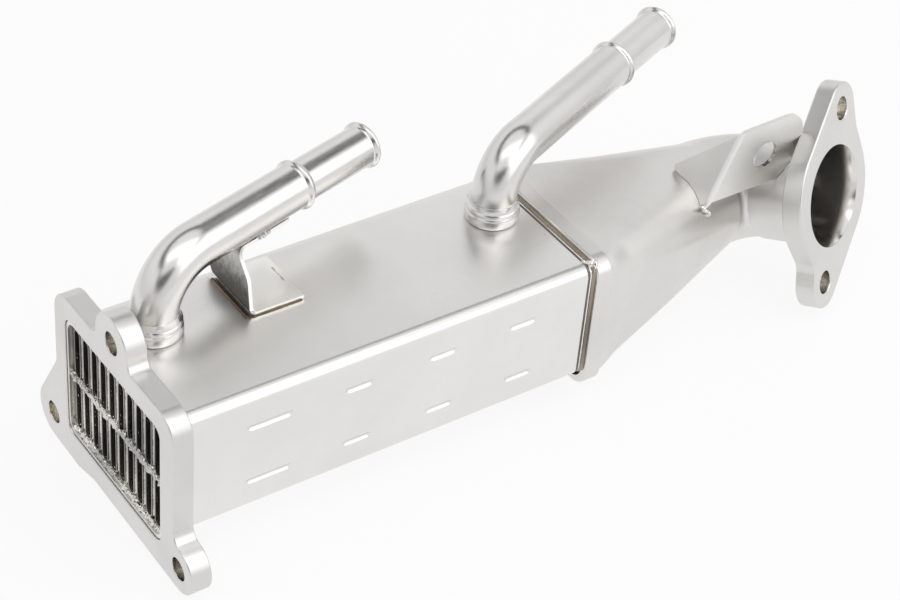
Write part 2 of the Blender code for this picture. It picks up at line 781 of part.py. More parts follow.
def from_outlet(along, up):
    """Return a point of the tab's plane, that far along X and up from the centre of the outlet's face."""
    return OUTLET_CENTRE + Vector((along, TAB_SETBACK, up))


def rear_bracket(metal):
    """The folded tab on the outlet: an upright leg with a bolt hole, and a gusset back to the top of the duct."""
    fold_low = from_outlet(-63.8 * MM, 5.0 * MM)
    fold_high = from_outlet(-49.1 * MM, 41.0 * MM)
    end, top, bottom = -9.0 * MM, 41.9 * MM, 9.6 * MM
    lean = 7.2 * MM
    corner = [fold_high, from_outlet(end - lean, top), from_outlet(end, bottom)]
    leg = [fold_low, from_outlet(-59.7 * MM, bottom), *reversed(filleted_path(corner, [9.0 * MM], 6))]
    tip = from_outlet(-62.7 * MM, 13.4 * MM) + Vector((0.0, 22.9 * MM, 0.0))
    wing = [fold_low, tip, tip + Vector((0.0, 0.0, 2.4 * MM)), fold_high]
    made = folded_sheet("rear_bracket", leg, wing, 3.0 * MM)
    hole = from_outlet(-33.8 * MM, 25.2 * MM)
    reach = Vector((0.0, 6.0 * MM, 0.0))
    boolean(made, tube_along("bracket_hole", [hole - reach, hole + reach], [TAB_HOLE] * 2, 24, CUTTERS))
    boolean(made, loft("duct_clearance", diffuser_rings(-GAP), CUTTERS))
    placing = outlet_placing(NECK_LENGTH + OUTLET_THICKNESS)
    boolean(made, turned("neck_clearance", neck_profile(GAP), placing, 48, CUTTERS))
    slab = OUTLET_THICKNESS + 2 * GAP
    face = outlet_placing(OUTLET_THICKNESS + GAP)
    boolean(made, flat_plate("flange_clearance", [outlet_outline(GAP)], slab, face, CUTTERS))
    finish(made, metal)


def seam_welds(metal):
    """The two sunk weld beads on either side of the rear header's rim."""
    sunk = 0.9 * MM
    outer = rounded_box(SHELL_WIDTH - 2 * sunk, SHELL_HEIGHT - 2 * sunk, SHELL_CORNER - sunk, 20)
    depth = 3.2 * MM
    inner = rounded_box(SHELL_WIDTH - 2 * depth, SHELL_HEIGHT - 2 * depth, SHELL_CORNER - depth, 12)
    header_end = REAR_HEADER_X + HEADER_THICKNESS
    spans = ((SHELL_END, REAR_HEADER_X), (header_end, COLLAR_START))
    for name, (start, end) in zip(("seam_weld_front", "seam_weld_rear"), spans):
        made = flat_plate(name, [outer, inner], end - start - 2 * GAP, across(start + GAP))
        finish(made, metal)


def main():
    """Build the cooler."""
    global PARTS, CUTTERS
    clear_scene()
    PARTS = collection("egr_cooler", True)
    CUTTERS = collection("cutters", False)
    satin = material("satin_steel", (0.62, 0.61, 0.59), 0.42)
    bright = material("bright_steel", (0.70, 0.69, 0.67), 0.22)
    core = material("core_steel", (0.50, 0.48, 0.44), 0.35)
    heat_tint = material("heat_tinted_weld", (0.33, 0.27, 0.20), 0.45)
    inlet_flange(satin)
    shell(satin)
    flat_tubes(core)
    core_plates(core)
    for pipe in PIPES:
        coolant_pipe(pipe, bright)
        pipe_collar(pipe, bright)
    diffuser(satin)
    outlet_flange(satin)
    seam_welds(heat_tint)
    front_bracket(satin)
    rear_bracket(satin)


main()
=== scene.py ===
"""Looks of the exhaust gas cooler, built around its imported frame.

World frame, in metres: the origin is the centre of the gas opening in the inlet flange's front face.
X runs along the shell towards the outlet, Z is up, and -Y is the side that the outlet turns to.
"""

import logging
import math
from collections.abc import Iterable, Sequence
from dataclasses import dataclass
from enum import Enum

import bmesh
import bpy
from mathutils import Matrix, Quaternion, Vector

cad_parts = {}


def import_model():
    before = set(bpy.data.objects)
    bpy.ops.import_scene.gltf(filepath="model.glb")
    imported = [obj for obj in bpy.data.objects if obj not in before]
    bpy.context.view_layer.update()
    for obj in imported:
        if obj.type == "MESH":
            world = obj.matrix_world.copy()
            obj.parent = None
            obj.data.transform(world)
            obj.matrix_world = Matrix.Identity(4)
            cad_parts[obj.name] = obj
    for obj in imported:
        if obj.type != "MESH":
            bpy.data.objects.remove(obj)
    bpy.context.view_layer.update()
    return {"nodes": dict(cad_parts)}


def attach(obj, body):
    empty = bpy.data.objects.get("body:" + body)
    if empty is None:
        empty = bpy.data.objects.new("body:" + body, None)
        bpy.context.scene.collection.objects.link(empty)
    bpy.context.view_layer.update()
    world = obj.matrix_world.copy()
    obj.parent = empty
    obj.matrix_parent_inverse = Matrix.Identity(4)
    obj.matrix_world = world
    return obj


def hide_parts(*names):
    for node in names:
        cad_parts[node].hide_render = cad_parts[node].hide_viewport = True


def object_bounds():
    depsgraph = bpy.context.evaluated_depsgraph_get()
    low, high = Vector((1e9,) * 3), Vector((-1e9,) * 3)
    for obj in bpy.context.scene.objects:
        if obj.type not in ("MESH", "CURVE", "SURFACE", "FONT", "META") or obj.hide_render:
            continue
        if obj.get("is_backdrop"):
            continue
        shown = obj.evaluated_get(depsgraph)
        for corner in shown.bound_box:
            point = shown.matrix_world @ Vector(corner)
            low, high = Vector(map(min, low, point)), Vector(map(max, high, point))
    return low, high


MM = 0.001
CLEARANCE = 0.3 * MM
UP = Vector((0.0, 0.0, 1.0))
FORWARD = Vector((1.0, 0.0, 0.0))

Point = tuple[float, float]
Ring = list[Vector]
Colour = tuple[float, float, float, float]

log = logging.getLogger("cooler")


# Materials


class Grain(Enum):
    """How a steel surface was made; the value is its fine pattern's scale along, across and upright."""

    ROLLED = (700.0, 5200.0, 5200.0)
    DRAWN = (130.0, 4200.0, 4200.0)
    BLASTED = (3600.0, 3600.0, 3600.0)
    BRAZED = (700.0, 700.0, 700.0)


class NodeMaker:
    """Makes the nodes of a tree and joins them."""

    def __init__(self, tree: bpy.types.NodeTree) -> None:
        """Start with an empty tree."""
        self.tree = tree
        tree.nodes.clear()

    def add(self, kind: str, inputs: dict | None = None, **settings: object) -> bpy.types.Node:
        """Make a node, set its properties and fill or link its inputs.

        Args:
            kind: the node's type name.
            inputs: values or output sockets, by input name or number.
            settings: the node's own properties.

        Returns:
            The new node.
        """
        node = self.tree.nodes.new(kind)
        for name, value in settings.items():
            setattr(node, name, value)
        for name, value in (inputs or {}).items():
            if isinstance(value, bpy.types.NodeSocket):
                self.tree.links.new(value, node.inputs[name])
            else:
                node.inputs[name].default_value = value
        return node

    def math(self, operation: str, *values: object) -> bpy.types.NodeSocket:
        """Return the outcome of a sum on sockets or numbers.

        Args:
            operation: the node's operation, such as MULTIPLY.
            values: one to three sockets or numbers.

        Returns:
            The outcome.
        """
        return self.add("ShaderNodeMath", dict(enumerate(values)), operation=operation).outputs[0]

    def noise(self, where: bpy.types.NodeSocket, scale: float, detail: float = 3.0) -> bpy.types.NodeSocket:
        """Return fractal noise from 0 to 1.

        Args:
            where: the coordinates.
            scale: the number of features in one unit of them.
            detail: the number of octaves.

        Returns:
            The noise.
        """
        inputs = {"Vector": where, "Scale": scale, "Detail": detail, "Roughness": 0.6}
        return self.add("ShaderNodeTexNoise", inputs).outputs["Fac"]

    def remap(self, value: bpy.types.NodeSocket, span: Point, out: Point) -> bpy.types.NodeSocket:
        """Map a value from one range to another and hold it there.

        Args:
            value: the socket to map.
            span: the range that it comes from.
            out: the range that it goes to.

        Returns:
            The mapped value.
        """
        inputs = {"Value": value, 1: span[0], 2: span[1], 3: out[0], 4: out[1]}
        return self.add("ShaderNodeMapRange", inputs, interpolation_type="SMOOTHSTEP").outputs[0]

    def blend(self, share: object, first: object, second: object, mode: str = "MIX") -> bpy.types.NodeSocket:
        """Mix two colours.

        Args:
            share: how much of the second shows.
            first: a colour or a socket.
            second: a colour or a socket.
            mode: the name of the blend.

        Returns:
            The mixed colour.
        """
        inputs = {0: share, 6: first, 7: second}
        return self.add("ShaderNodeMix", inputs, data_type="RGBA", blend_type=mode).outputs[2]


@dataclass(frozen=True)
class Tint:
    """A patch of colour, such as a heat tint, a scratch or a painted dark reflection: its middle, its reach
    each way, its colour and its ragged edge.
    """

    centre: tuple[float, float, float]
    reach: tuple[float, float, float]
    colour: Colour = (0.42, 0.29, 0.17, 1.0)
    strength: float = 0.8
    ragged: float = 0.35

    def mask(
        self,
        nodes: NodeMaker,
        where: bpy.types.NodeSocket,
        grain: bpy.types.NodeSocket,
    ) -> bpy.types.NodeSocket:
        """Return the share of the patch at each place, with a ragged edge.

        Args:
            nodes: the maker of the material's tree.
            where: the object coordinates.
            grain: noise that breaks the edge up.

        Returns:
            A share from 0 to the patch's strength.
        """
        away = nodes.add("ShaderNodeVectorMath", {0: where, 1: self.centre}, operation="SUBTRACT").outputs[0]
        scaled = nodes.add("ShaderNodeVectorMath", {0: away, 1: self.reach}, operation="DIVIDE").outputs[0]
        distance = nodes.add("ShaderNodeVectorMath", {0: scaled}, operation="LENGTH").outputs["Value"]
        edge = nodes.math("ADD", distance, nodes.remap(grain, (0.3, 0.7), (-self.ragged, self.ragged)))
        return nodes.remap(edge, (0.3, 1.0), (self.strength, 0.0))


@dataclass(frozen=True)
class Steel:
    """A bare stainless finish: its colour, its shine, its grain, the marks that heat and wear left, and any
    painted dark reflection.
    """

    name: str
    slot: str
    colour: Colour
    roughness: float
    grain: Grain
    heading: float = 0.0
    uneven: float = 0.03
    bump: float = 0.05
    cloud: float = 0.05
    tints: tuple[Tint, ...] = ()
    cloud_scale: float = 28.0
    ragged_scale: float = 420.0
    relief: float = 0.05 * MM

    def material(self) -> bpy.types.Material:
        """Build the finish.

        Returns:
            A procedural material on object coordinates.
        """
        made = bpy.data.materials.new(self.name)
        made.use_nodes = True
        nodes = NodeMaker(made.node_tree)
        where = nodes.add("ShaderNodeTexCoord").outputs["Object"]
        heading = {"Vector": where, "Rotation": (0.0, 0.0, -self.heading)}
        turned = nodes.add("ShaderNodeMapping", heading).outputs[0]
        lined = nodes.add("ShaderNodeMapping", {"Vector": turned, "Scale": self.grain.value}).outputs[0]
        broad = nodes.noise(where, self.cloud_scale, 4.0)
        fine = nodes.noise(lined, 1.0, 2.0)
        dull = tuple(channel * (1.0 - self.cloud) for channel in self.colour[:3]) + (1.0,)
        colour = nodes.blend(nodes.remap(broad, (0.35, 0.65), (0.0, 1.0)), self.colour, dull)
        for tint in self.tints:
            share = tint.mask(nodes, where, nodes.noise(where, self.ragged_scale))
            colour = nodes.blend(share, colour, tint.colour)
        worn = nodes.remap(broad, (0.3, 0.7), (-0.5 * self.uneven, 0.5 * self.uneven))
        low, high = self.roughness - self.uneven, self.roughness + self.uneven
        rough = nodes.math("ADD", nodes.remap(fine, (0.3, 0.7), (low, high)), worn)
        pressed = {"Height": fine, "Strength": self.bump, "Distance": self.relief}
        normal = nodes.add("ShaderNodeBump", pressed).outputs[0]
        surface = {"Base Color": colour, "Roughness": rough, "Normal": normal, "Metallic": 1.0}
        shader = nodes.add("ShaderNodeBsdfPrincipled", surface)
        nodes.add("ShaderNodeOutputMaterial", {"Surface": shader.outputs[0]})
        return made


class Finishes:
    """The finishes of the cooler, each made once, when a piece first needs it."""

    def __init__(self, steels: Iterable[Steel]) -> None:
        """Keep the finishes by name."""
        self.steels = {steel.name: steel for steel in steels}
        self.made: dict[str, bpy.types.Material] = {}

    def material(self, name: str) -> bpy.types.Material:
        """Return a finish's material.

        Args:
            name: the finish's name.

        Returns:
            The material, made on first use.
        """
        if name not in self.made:
            self.made[name] = self.steels[name].material()
        return self.made[name]

    def dress(self, piece: bpy.types.Object, name: str) -> None:
        """Give a piece a finish.

        Args:
            piece: the piece.
            name: the finish's name.
        """
        piece.data.materials.clear()
        piece.data.materials.append(self.material(name))


# Outlines


def belt(pulleys: Sequence[tuple[float, float, float]], segments: int = 120) -> list[Point]:
    """Return the outline of a belt run anticlockwise round pulleys.

    Args:
        pulleys: (x, y, radius) of each; a negative radius lies outside the belt and hollows it.
        segments: the number of points in a full turn.

    Returns:
        The outline's points.
    """
    count = len(pulleys)
    tangents = []
    for index, (x, y, radius) in enumerate(pulleys):
        next_x, next_y, next_radius = pulleys[(index + 1) % count]
        along = math.atan2(next_y - y, next_x - x)
        distance = math.hypot(next_x - x, next_y - y)
        tangents.append(along - math.acos((radius - next_radius) / distance))
    points = []
    for index, (x, y, radius) in enumerate(pulleys):
        start = tangents[index - 1]
        sweep = (tangents[index] - start) % math.tau
        if radius < 0.0:
            sweep -= math.tau
        steps = max(1, round(abs(sweep) / math.tau * segments))
        for step in range(steps + 1):
            angle = start + sweep * step / steps
            points.append((x + radius * math.cos(angle), y + radius * math.sin(angle)))
    return points


def rounded_box(width: float, height: float, corner: float, segments: int = 96) -> list[Point]:
    """Return a centred rectangle with round corners.

    Args:
        width: its full width.
        height: its full height.
        corner: the radius of its corners.
        segments: the number of points in a full turn.

    Returns:
        The outline's points.
    """
    half_x = width / 2 - corner
    half_y = height / 2 - corner
    corners = ((half_x, half_y), (-half_x, half_y), (-half_x, -half_y), (half_x, -half_y))
    return belt([(x, y, corner) for x, y in corners], segments)


def circle(x: float, y: float, radius: float, segments: int = 64) -> list[Point]:
    """Return a circle as an outline."""
    turns = (math.tau * step / segments for step in range(segments))
    return [(x + radius * math.cos(turn), y + radius * math.sin(turn)) for turn in turns]


def mix(start: float, end: float, share: float) -> float:
    """Return the value a share of the way from start to end."""
    return start + (end - start) * share


def ease(share: float) -> float:
    """Return a share that leaves 0 and reaches 1 softly."""
    held = min(1.0, max(0.0, share))
    return held * held * (3.0 - 2.0 * held)


def filleted_path(points: Sequence[Vector], radii: Sequence[float], steps: int) -> list[Vector]:
    """Return points along straight runs joined by arcs.

    Args:
        points: the corners of the path, with its two ends.
        radii: one radius for each inner corner.
        steps: the number of steps in each arc.

    Returns:
        The path's points.
    """
    path = [points[0]]
    for before, corner, after, radius in zip(points, points[1:], points[2:], radii):
        inward = (before - corner).normalized()
        outward = (after - corner).normalized()
        half_angle = inward.angle(outward) / 2
        reach = radius / math.tan(half_angle)
        centre = corner + (inward + outward).normalized() * radius / math.sin(half_angle)
        start = corner + inward * reach - centre
        end = corner + outward * reach - centre
        axis = start.cross(end).normalized()
        sweep = start.angle(end)
        for step in range(steps + 1):
            path.append(centre + Matrix.Rotation(sweep * step / steps, 3, axis) @ start)
    path.append(points[-1])
    return path


# Placings


def across(x: float) -> Matrix:
    """Return the placing of a plate that stands across the shell: plate X is world Y, plate Y is world Z."""
    turn = Matrix(((0, 0, 1, 0), (1, 0, 0, 0), (0, 1, 0, 0), (0, 0, 0, 1)))
    return Matrix.Translation((x, 0.0, 0.0)) @ turn


def axes_at(origin: Vector, along: Vector, up: Vector) -> Matrix:
    """Return the placing whose Z runs along a direction and whose Y leans to another.

    Args:
        origin: where it sits.
        along: the direction of its Z.
        up: the direction that its Y leans to.

    Returns:
        The placing.
    """
    z_axis = along.normalized()
    x_axis = up.cross(z_axis).normalized()
    turn = Matrix((x_axis, z_axis.cross(x_axis), z_axis)).transposed().to_4x4()
    return Matrix.Translation(origin) @ turn


def placed(outline: Iterable[Point], placing: Matrix) -> Ring:
    """Return an outline's points in the world."""
    return [placing @ Vector((x, y, 0.0)) for x, y in outline]


# Meshes


def mesh_object(name: str, points: Sequence[Vector], edges: Sequence, faces: Sequence) -> bpy.types.Object:
    """Make an object from points, edges and faces.

    Args:
        name: the object's name.
        points: its vertices.
        edges: pairs of vertex numbers.
        faces: tuples of vertex numbers.

    Returns:
        The object, linked to the scene.
    """
    mesh = bpy.data.meshes.new(name)
    mesh.from_pydata(points, edges, faces)
    made = bpy.data.objects.new(name, mesh)
    bpy.context.scene.collection.objects.link(made)
    return made


def weld(mesh: bpy.types.Mesh, distance: float = 0.002 * MM) -> None:
    """Join doubled points and turn every face outwards.

    Args:
        mesh: the mesh.
        distance: how close two points are to be joined.
    """
    work = bmesh.new()
    work.from_mesh(mesh)
    bmesh.ops.remove_doubles(work, verts=work.verts, dist=distance)
    bmesh.ops.recalc_face_normals(work, faces=work.faces)
    work.to_mesh(mesh)
    work.free()


def skin(name: str, rings: Sequence[Ring], hoop: bool = False) -> bpy.types.Object:
    """Stretch a skin over a stack of rings with equal point counts.

    Args:
        name: the object's name.
        rings: the rings, in order.
        hoop: True joins the last ring back to the first; otherwise both ends are closed flat.

    Returns:
        The skinned object.
    """
    count = len(rings[0])
    points = [point for ring in rings for point in ring]
    faces = []
    for index in range(len(rings) - (0 if hoop else 1)):
        low = index * count
        high = (index + 1) % len(rings) * count
        for side in range(count):
            after = (side + 1) % count
            faces.append((low + side, low + after, high + after, high + side))
    if not hoop:
        faces += [tuple(range(count))[::-1], tuple(range(len(points) - count, len(points)))]
    made = mesh_object(name, points, [], faces)
    weld(made.data)
    return made


def tube_rings(path: Sequence[Vector], radii: Sequence[float], segments: int = 72) -> list[Ring]:
    """Return round rings along a path, none of them twisted against the next.

    Args:
        path: the points of the middle line.
        radii: one radius for each point.
        segments: the number of points in a ring.

    Returns:
        The rings.
    """
    headings = []
    for index in range(len(path)):
        before = path[max(0, index - 1)]
        after = path[min(len(path) - 1, index + 1)]
        headings.append((after - before).normalized())
    side = headings[0].orthogonal().normalized()
    rings = []
    for place, heading, radius, last in zip(path, headings, radii, [headings[0], *headings]):
        side = last.rotation_difference(heading) @ side
        up = heading.cross(side)
        turns = [math.tau * step / segments for step in range(segments)]
        rings.append([place + (side * math.cos(turn) + up * math.sin(turn)) * radius for turn in turns])
    return rings


def plate(
    name: str,
    outlines: Sequence[Sequence[Point]],
    thickness: float,
    placing: Matrix,
    edge: float = 0.0,
) -> bpy.types.Object:
    """Extrude outlines from the placing's XY plane; inner outlines become holes.

    Args:
        name: the object's name.
        outlines: the outer outline and any holes.
        thickness: how far it is extruded along the placing's Z.
        placing: where it goes.
        edge: the radius of its rounded edges.

    Returns:
        The plate.
    """
    curve = bpy.data.curves.new(name, "CURVE")
    curve.dimensions = "2D"
    curve.fill_mode = "BOTH"
    curve.extrude = thickness / 2 - edge
    curve.bevel_depth = edge
    curve.offset = -edge
    curve.bevel_resolution = 3 if edge else 0
    for outline in outlines:
        spline = curve.splines.new("POLY")
        spline.points.add(len(outline) - 1)
        spline.use_cyclic_u = True
        for point, (x, y) in zip(spline.points, outline):
            point.co = (x, y, 0.0, 1.0)
    guide = bpy.data.objects.new(name, curve)
    bpy.context.scene.collection.objects.link(guide)
    graph = bpy.context.evaluated_depsgraph_get()
    mesh = bpy.data.meshes.new_from_object(guide.evaluated_get(graph))
    bpy.data.objects.remove(guide, do_unlink=True)
    bpy.data.curves.remove(curve)
    mesh.transform(placing @ Matrix.Translation((0.0, 0.0, thickness / 2)))
    mesh.materials.clear()
    weld(mesh)
    made = bpy.data.objects.new(name, mesh)
    bpy.context.scene.collection.objects.link(made)
    return made


def turned(name: str, profile: Sequence[Point], placing: Matrix, segments: int = 128) -> bpy.types.Object:
    """Spin a closed profile about the placing's Z axis, which it doesn't touch.

    Args:
        name: the object's name.
        profile: its (radius, height) points.
        placing: where it goes.
        segments: the number of steps in a turn.

    Returns:
        The turned object.
    """
    rings = []
    for radius, height in profile:
        turns = [math.tau * step / segments for step in range(segments)]
        rings.append([placing @ Vector((radius * math.cos(t), radius * math.sin(t), height)) for t in turns])
    return skin(name, rings, hoop=True)


def combine(
    target: bpy.types.Object,
    tools: Iterable[bpy.types.Object],
    operation: str = "DIFFERENCE",
) -> None:
    """Cut tools out of a piece or join them to it, and remove them.

    Args:
        target: the piece.
        tools: what cuts it or joins it.
        operation: DIFFERENCE or UNION.
    """
    for tool in tools:
        step = target.modifiers.new("Combine", "BOOLEAN")
        step.operation = operation
        step.solver = "EXACT"
        step.object = tool
        settle(target)
        bpy.data.objects.remove(tool, do_unlink=True)


def settle(piece: bpy.types.Object) -> None:
    """Turn a piece's modifiers into its mesh.

    Args:
        piece: the piece.
    """
    graph = bpy.context.evaluated_depsgraph_get()
    mesh = bpy.data.meshes.new_from_object(piece.evaluated_get(graph))
    piece.modifiers.clear()
    piece.data = mesh


def soften(piece: bpy.types.Object, width: float, degrees: float = 40.0) -> None:
    """Round the sharp edges of a piece.

    Args:
        piece: the piece.
        width: the width of the rounding.
        degrees: the edge angle above which it is rounded.
    """
    step = piece.modifiers.new("Soft edges", "BEVEL")
    step.width = width
    step.segments = 3
    step.limit_method = "ANGLE"
    step.angle_limit = math.radians(degrees)
    step.harden_normals = False
    settle(piece)


def shade(piece: bpy.types.Object, degrees: float = 38.0) -> None:
    """Shade a piece's round faces smooth and keep its flat faces flat.

    Args:
        piece: the piece.
        degrees: the edge angle above which an edge stays sharp.
    """
    piece.data.shade_smooth()
    piece.data.set_sharp_from_angle(angle=math.radians(degrees))
    step = piece.modifiers.new("Flat faces", "WEIGHTED_NORMAL")
    step.keep_sharp = True
    settle(piece)


class Assembly:
    """A group of pieces of the cooler that share finishes and ride on its one rigid body."""

    body = "root"

    def __init__(self, finishes: Finishes) -> None:
        """Keep the finishes."""
        self.finishes = finishes

    def hand_in(
        self,
        piece: bpy.types.Object,
        finish: str,
        nodes: Sequence[str] = (),
        degrees: float = 38.0,
    ) -> None:
        """Shade a finished piece, dress it and put it on the body.

        Args:
            piece: the piece, with its place in its mesh.
            finish: the name of its finish.
            nodes: the CAD nodes that it shows instead of.
            degrees: the edge angle above which an edge stays sharp.
        """
        shade(piece, degrees)
        self.finishes.dress(piece, finish)
        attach(piece, self.body)
        if nodes:
            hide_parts(*nodes)
        log.info("%s: %d faces, %s", piece.name, len(piece.data.polygons), finish)


# Beads and lumps of weld and braze


@dataclass(frozen=True)
class Bead:
    """The run of a weld: its radius, the depth and pitch of its ripples, and how far its radius wanders."""

    radius: float
    ripple: float
    pitch: float
    wander: float


class Follower:
    """A node tree that lays metal along a path; its inputs are set by name before it is first evaluated."""

    inputs: tuple[tuple[str, str], ...] = ()

    def __init__(self, name: str) -> None:
        """Build the tree with its named inputs.

        Args:
            name: the tree's name.
        """
        self.tree = bpy.data.node_groups.new(name, "GeometryNodeTree")
        self.nodes = NodeMaker(self.tree)
        face = self.tree.interface
        face.new_socket("Geometry", in_out="OUTPUT", socket_type="NodeSocketGeometry")
        face.new_socket("Path", in_out="INPUT", socket_type="NodeSocketGeometry")
        self.sockets = {}
        for label, kind in self.inputs:
            socket = face.new_socket(label, in_out="INPUT", socket_type=kind)
            self.sockets[label] = socket.identifier
        self.entry = self.nodes.add("NodeGroupInput").outputs
        self.build()

    def build(self) -> None:
        """Fill the tree; each kind of follower has its own."""
        raise NotImplementedError

    def close(self, geometry: bpy.types.NodeSocket) -> None:
        """End the tree: real geometry, shaded smooth, in the given metal.

        Args:
            geometry: what the tree has made.
        """
        real = self.nodes.add("GeometryNodeRealizeInstances", {"Geometry": geometry}).outputs[0]
        smooth = self.nodes.add("GeometryNodeSetShadeSmooth", {"Geometry": real}).outputs[0]
        metal = {"Geometry": smooth, "Material": self.entry["Metal"]}
        dressed = self.nodes.add("GeometryNodeSetMaterial", metal).outputs[0]
        self.nodes.add("NodeGroupOutput", {0: dressed})

    def lay(self, name: str, path: Sequence[Vector], closed: bool, **values: object) -> bpy.types.Object:
        """Lay metal along a path.

        Args:
            name: the new piece's name.
            path: the points of the path.
            closed: whether the path joins up.
            values: the tree's inputs by name.

        Returns:
            The piece, as a plain mesh.
        """
        count = len(path)
        edges = [(index, (index + 1) % count) for index in range(count if closed else count - 1)]
        piece = mesh_object(name, path, edges, [])
        step = piece.modifiers.new(name, "NODES")
        step.node_group = self.tree
        for label, value in values.items():
            step[self.sockets[label]] = value
        settle(piece)
        weld(piece.data, 0.0005 * MM)
        return piece


class WeldBead(Follower):
    """Lays a rippled bead of weld along a path."""

    inputs = (
        ("Radius", "NodeSocketFloat"),
        ("Ripple", "NodeSocketFloat"),
        ("Pitch", "NodeSocketFloat"),
        ("Wander", "NodeSocketFloat"),
        ("Seed", "NodeSocketFloat"),
        ("Metal", "NodeSocketMaterial"),
    )

    def build(self) -> None:
        """Sweep a circle whose radius swells once in each pitch and wanders with noise."""
        nodes, entry = self.nodes, self.entry
        curve = nodes.add("GeometryNodeMeshToCurve", {"Mesh": entry["Path"]}).outputs[0]
        step = nodes.math("DIVIDE", entry["Pitch"], 6.0)
        fine = nodes.add("GeometryNodeResampleCurve", {"Curve": curve}, mode="LENGTH")
        self.tree.links.new(step, fine.inputs["Length"])
        along = nodes.add("GeometryNodeSplineParameter").outputs["Length"]
        turns = nodes.math("DIVIDE", nodes.math("MULTIPLY", along, math.pi), entry["Pitch"])
        crest = nodes.math("ABSOLUTE", nodes.math("SINE", turns))
        swell = nodes.math("MULTIPLY", nodes.math("SUBTRACT", crest, 0.6), entry["Ripple"])
        place = nodes.add("GeometryNodeInputPosition").outputs[0]
        inputs = {"Vector": place, "W": entry["Seed"], "Scale": 260.0, "Detail": 2.0}
        noise = nodes.add("ShaderNodeTexNoise", inputs, noise_dimensions="4D").outputs["Fac"]
        drift = nodes.math("MULTIPLY", nodes.math("SUBTRACT", noise, 0.5), entry["Wander"])
        share = nodes.math("ADD", nodes.math("ADD", swell, drift), 1.0)
        radius = nodes.math("MULTIPLY", share, entry["Radius"])
        ring = nodes.add("GeometryNodeCurvePrimitiveCircle", {"Resolution": 10, "Radius": 1.0}).outputs[0]
        sweep = {"Curve": fine.outputs[0], "Profile Curve": ring, "Scale": radius, "Fill Caps": True}
        self.close(nodes.add("GeometryNodeCurveToMesh", sweep).outputs[0])

    def run(
        self,
        name: str,
        path: Sequence[Vector],
        closed: bool,
        bead: Bead,
        seed: float,
        metal: bpy.types.Material,
    ) -> bpy.types.Object:
        """Lay a bead of the given sizes along a path.

        Args:
            name: the new piece's name.
            path: the points of the path.
            closed: whether the path joins up.
            bead: the sizes of the bead.
            seed: what sets how it wanders.
            metal: what it is made of.

        Returns:
            The piece, as a plain mesh.
        """
        return self.lay(
            name,
            path,
            closed,
            Radius=bead.radius,
            Ripple=bead.ripple,
            Pitch=bead.pitch,
            Wander=bead.wander,
            Seed=seed,
            Metal=metal,
        )


class Lumps(Follower):
    """Scatters uneven lumps of braze along a path."""

    inputs = (
        ("Size", "NodeSocketFloat"),
        ("Spacing", "NodeSocketFloat"),
        ("Seed", "NodeSocketInt"),
        ("Metal", "NodeSocketMaterial"),
    )

    def chance(self, low: Sequence[float], high: Sequence[float]) -> bpy.types.NodeSocket:
        """Return a seeded random vector.

        Args:
            low: the least of each part.
            high: the most of each part.

        Returns:
            The vector.
        """
        inputs = {0: low, 1: high, "Seed": self.entry["Seed"]}
        return self.nodes.add("FunctionNodeRandomValue", inputs, data_type="FLOAT_VECTOR").outputs[0]

    def build(self) -> None:
        """Put a dented ball at each step, turned, stretched and pushed about by seeded chance."""
        nodes, entry = self.nodes, self.entry
        curve = nodes.add("GeometryNodeMeshToCurve", {"Mesh": entry["Path"]}).outputs[0]
        steps = nodes.add("GeometryNodeCurveToPoints", {"Curve": curve}, mode="LENGTH")
        self.tree.links.new(entry["Spacing"], steps.inputs["Length"])
        push = self.chance((-0.4, -1.0, -1.0), (0.4, 1.0, 1.0))
        reach = nodes.add("ShaderNodeVectorMath", {0: push}, operation="SCALE")
        self.tree.links.new(nodes.math("MULTIPLY", entry["Spacing"], 0.35), reach.inputs["Scale"])
        moved = {"Geometry": steps.outputs[0], "Offset": reach.outputs[0]}
        points = nodes.add("GeometryNodeSetPosition", moved).outputs[0]
        ball = nodes.add("GeometryNodeMeshIcoSphere", {"Radius": 1.0, "Subdivisions": 3}).outputs[0]
        place = nodes.add("GeometryNodeInputPosition").outputs[0]
        dents = nodes.add("ShaderNodeTexNoise", {"Vector": place, "Scale": 1.4, "Detail": 1.0}).outputs["Fac"]
        swell = nodes.math("ADD", nodes.math("MULTIPLY", dents, 0.7), 0.6)
        dented = nodes.add("ShaderNodeVectorMath", {0: place}, operation="SCALE")
        self.tree.links.new(swell, dented.inputs["Scale"])
        shaped = {"Geometry": ball, "Position": dented.outputs[0]}
        lump = nodes.add("GeometryNodeSetPosition", shaped).outputs[0]
        turn = self.chance((0.0, 0.0, 0.0), (math.tau, math.tau, math.tau))
        spread = self.chance((0.45, 0.6, 0.6), (0.8, 1.3, 1.3))
        sized = nodes.add("ShaderNodeVectorMath", {0: spread}, operation="SCALE")
        self.tree.links.new(entry["Size"], sized.inputs["Scale"])
        laid = {"Points": points, "Instance": lump, "Rotation": turn, "Scale": sized.outputs[0]}
        self.close(nodes.add("GeometryNodeInstanceOnPoints", laid).outputs[0])


class Array(Follower):
    """Stands a copy of a piece at each point of a mesh."""

    inputs = (("Piece", "NodeSocketObject"), ("Metal", "NodeSocketMaterial"))

    def build(self) -> None:
        """Instance the piece on the points."""
        nodes, entry = self.nodes, self.entry
        piece = nodes.add("GeometryNodeObjectInfo", {"Object": entry["Piece"]}).outputs["Geometry"]
        laid = {"Points": entry["Path"], "Instance": piece}
        self.close(nodes.add("GeometryNodeInstanceOnPoints", laid).outputs[0])


# Sub-assemblies


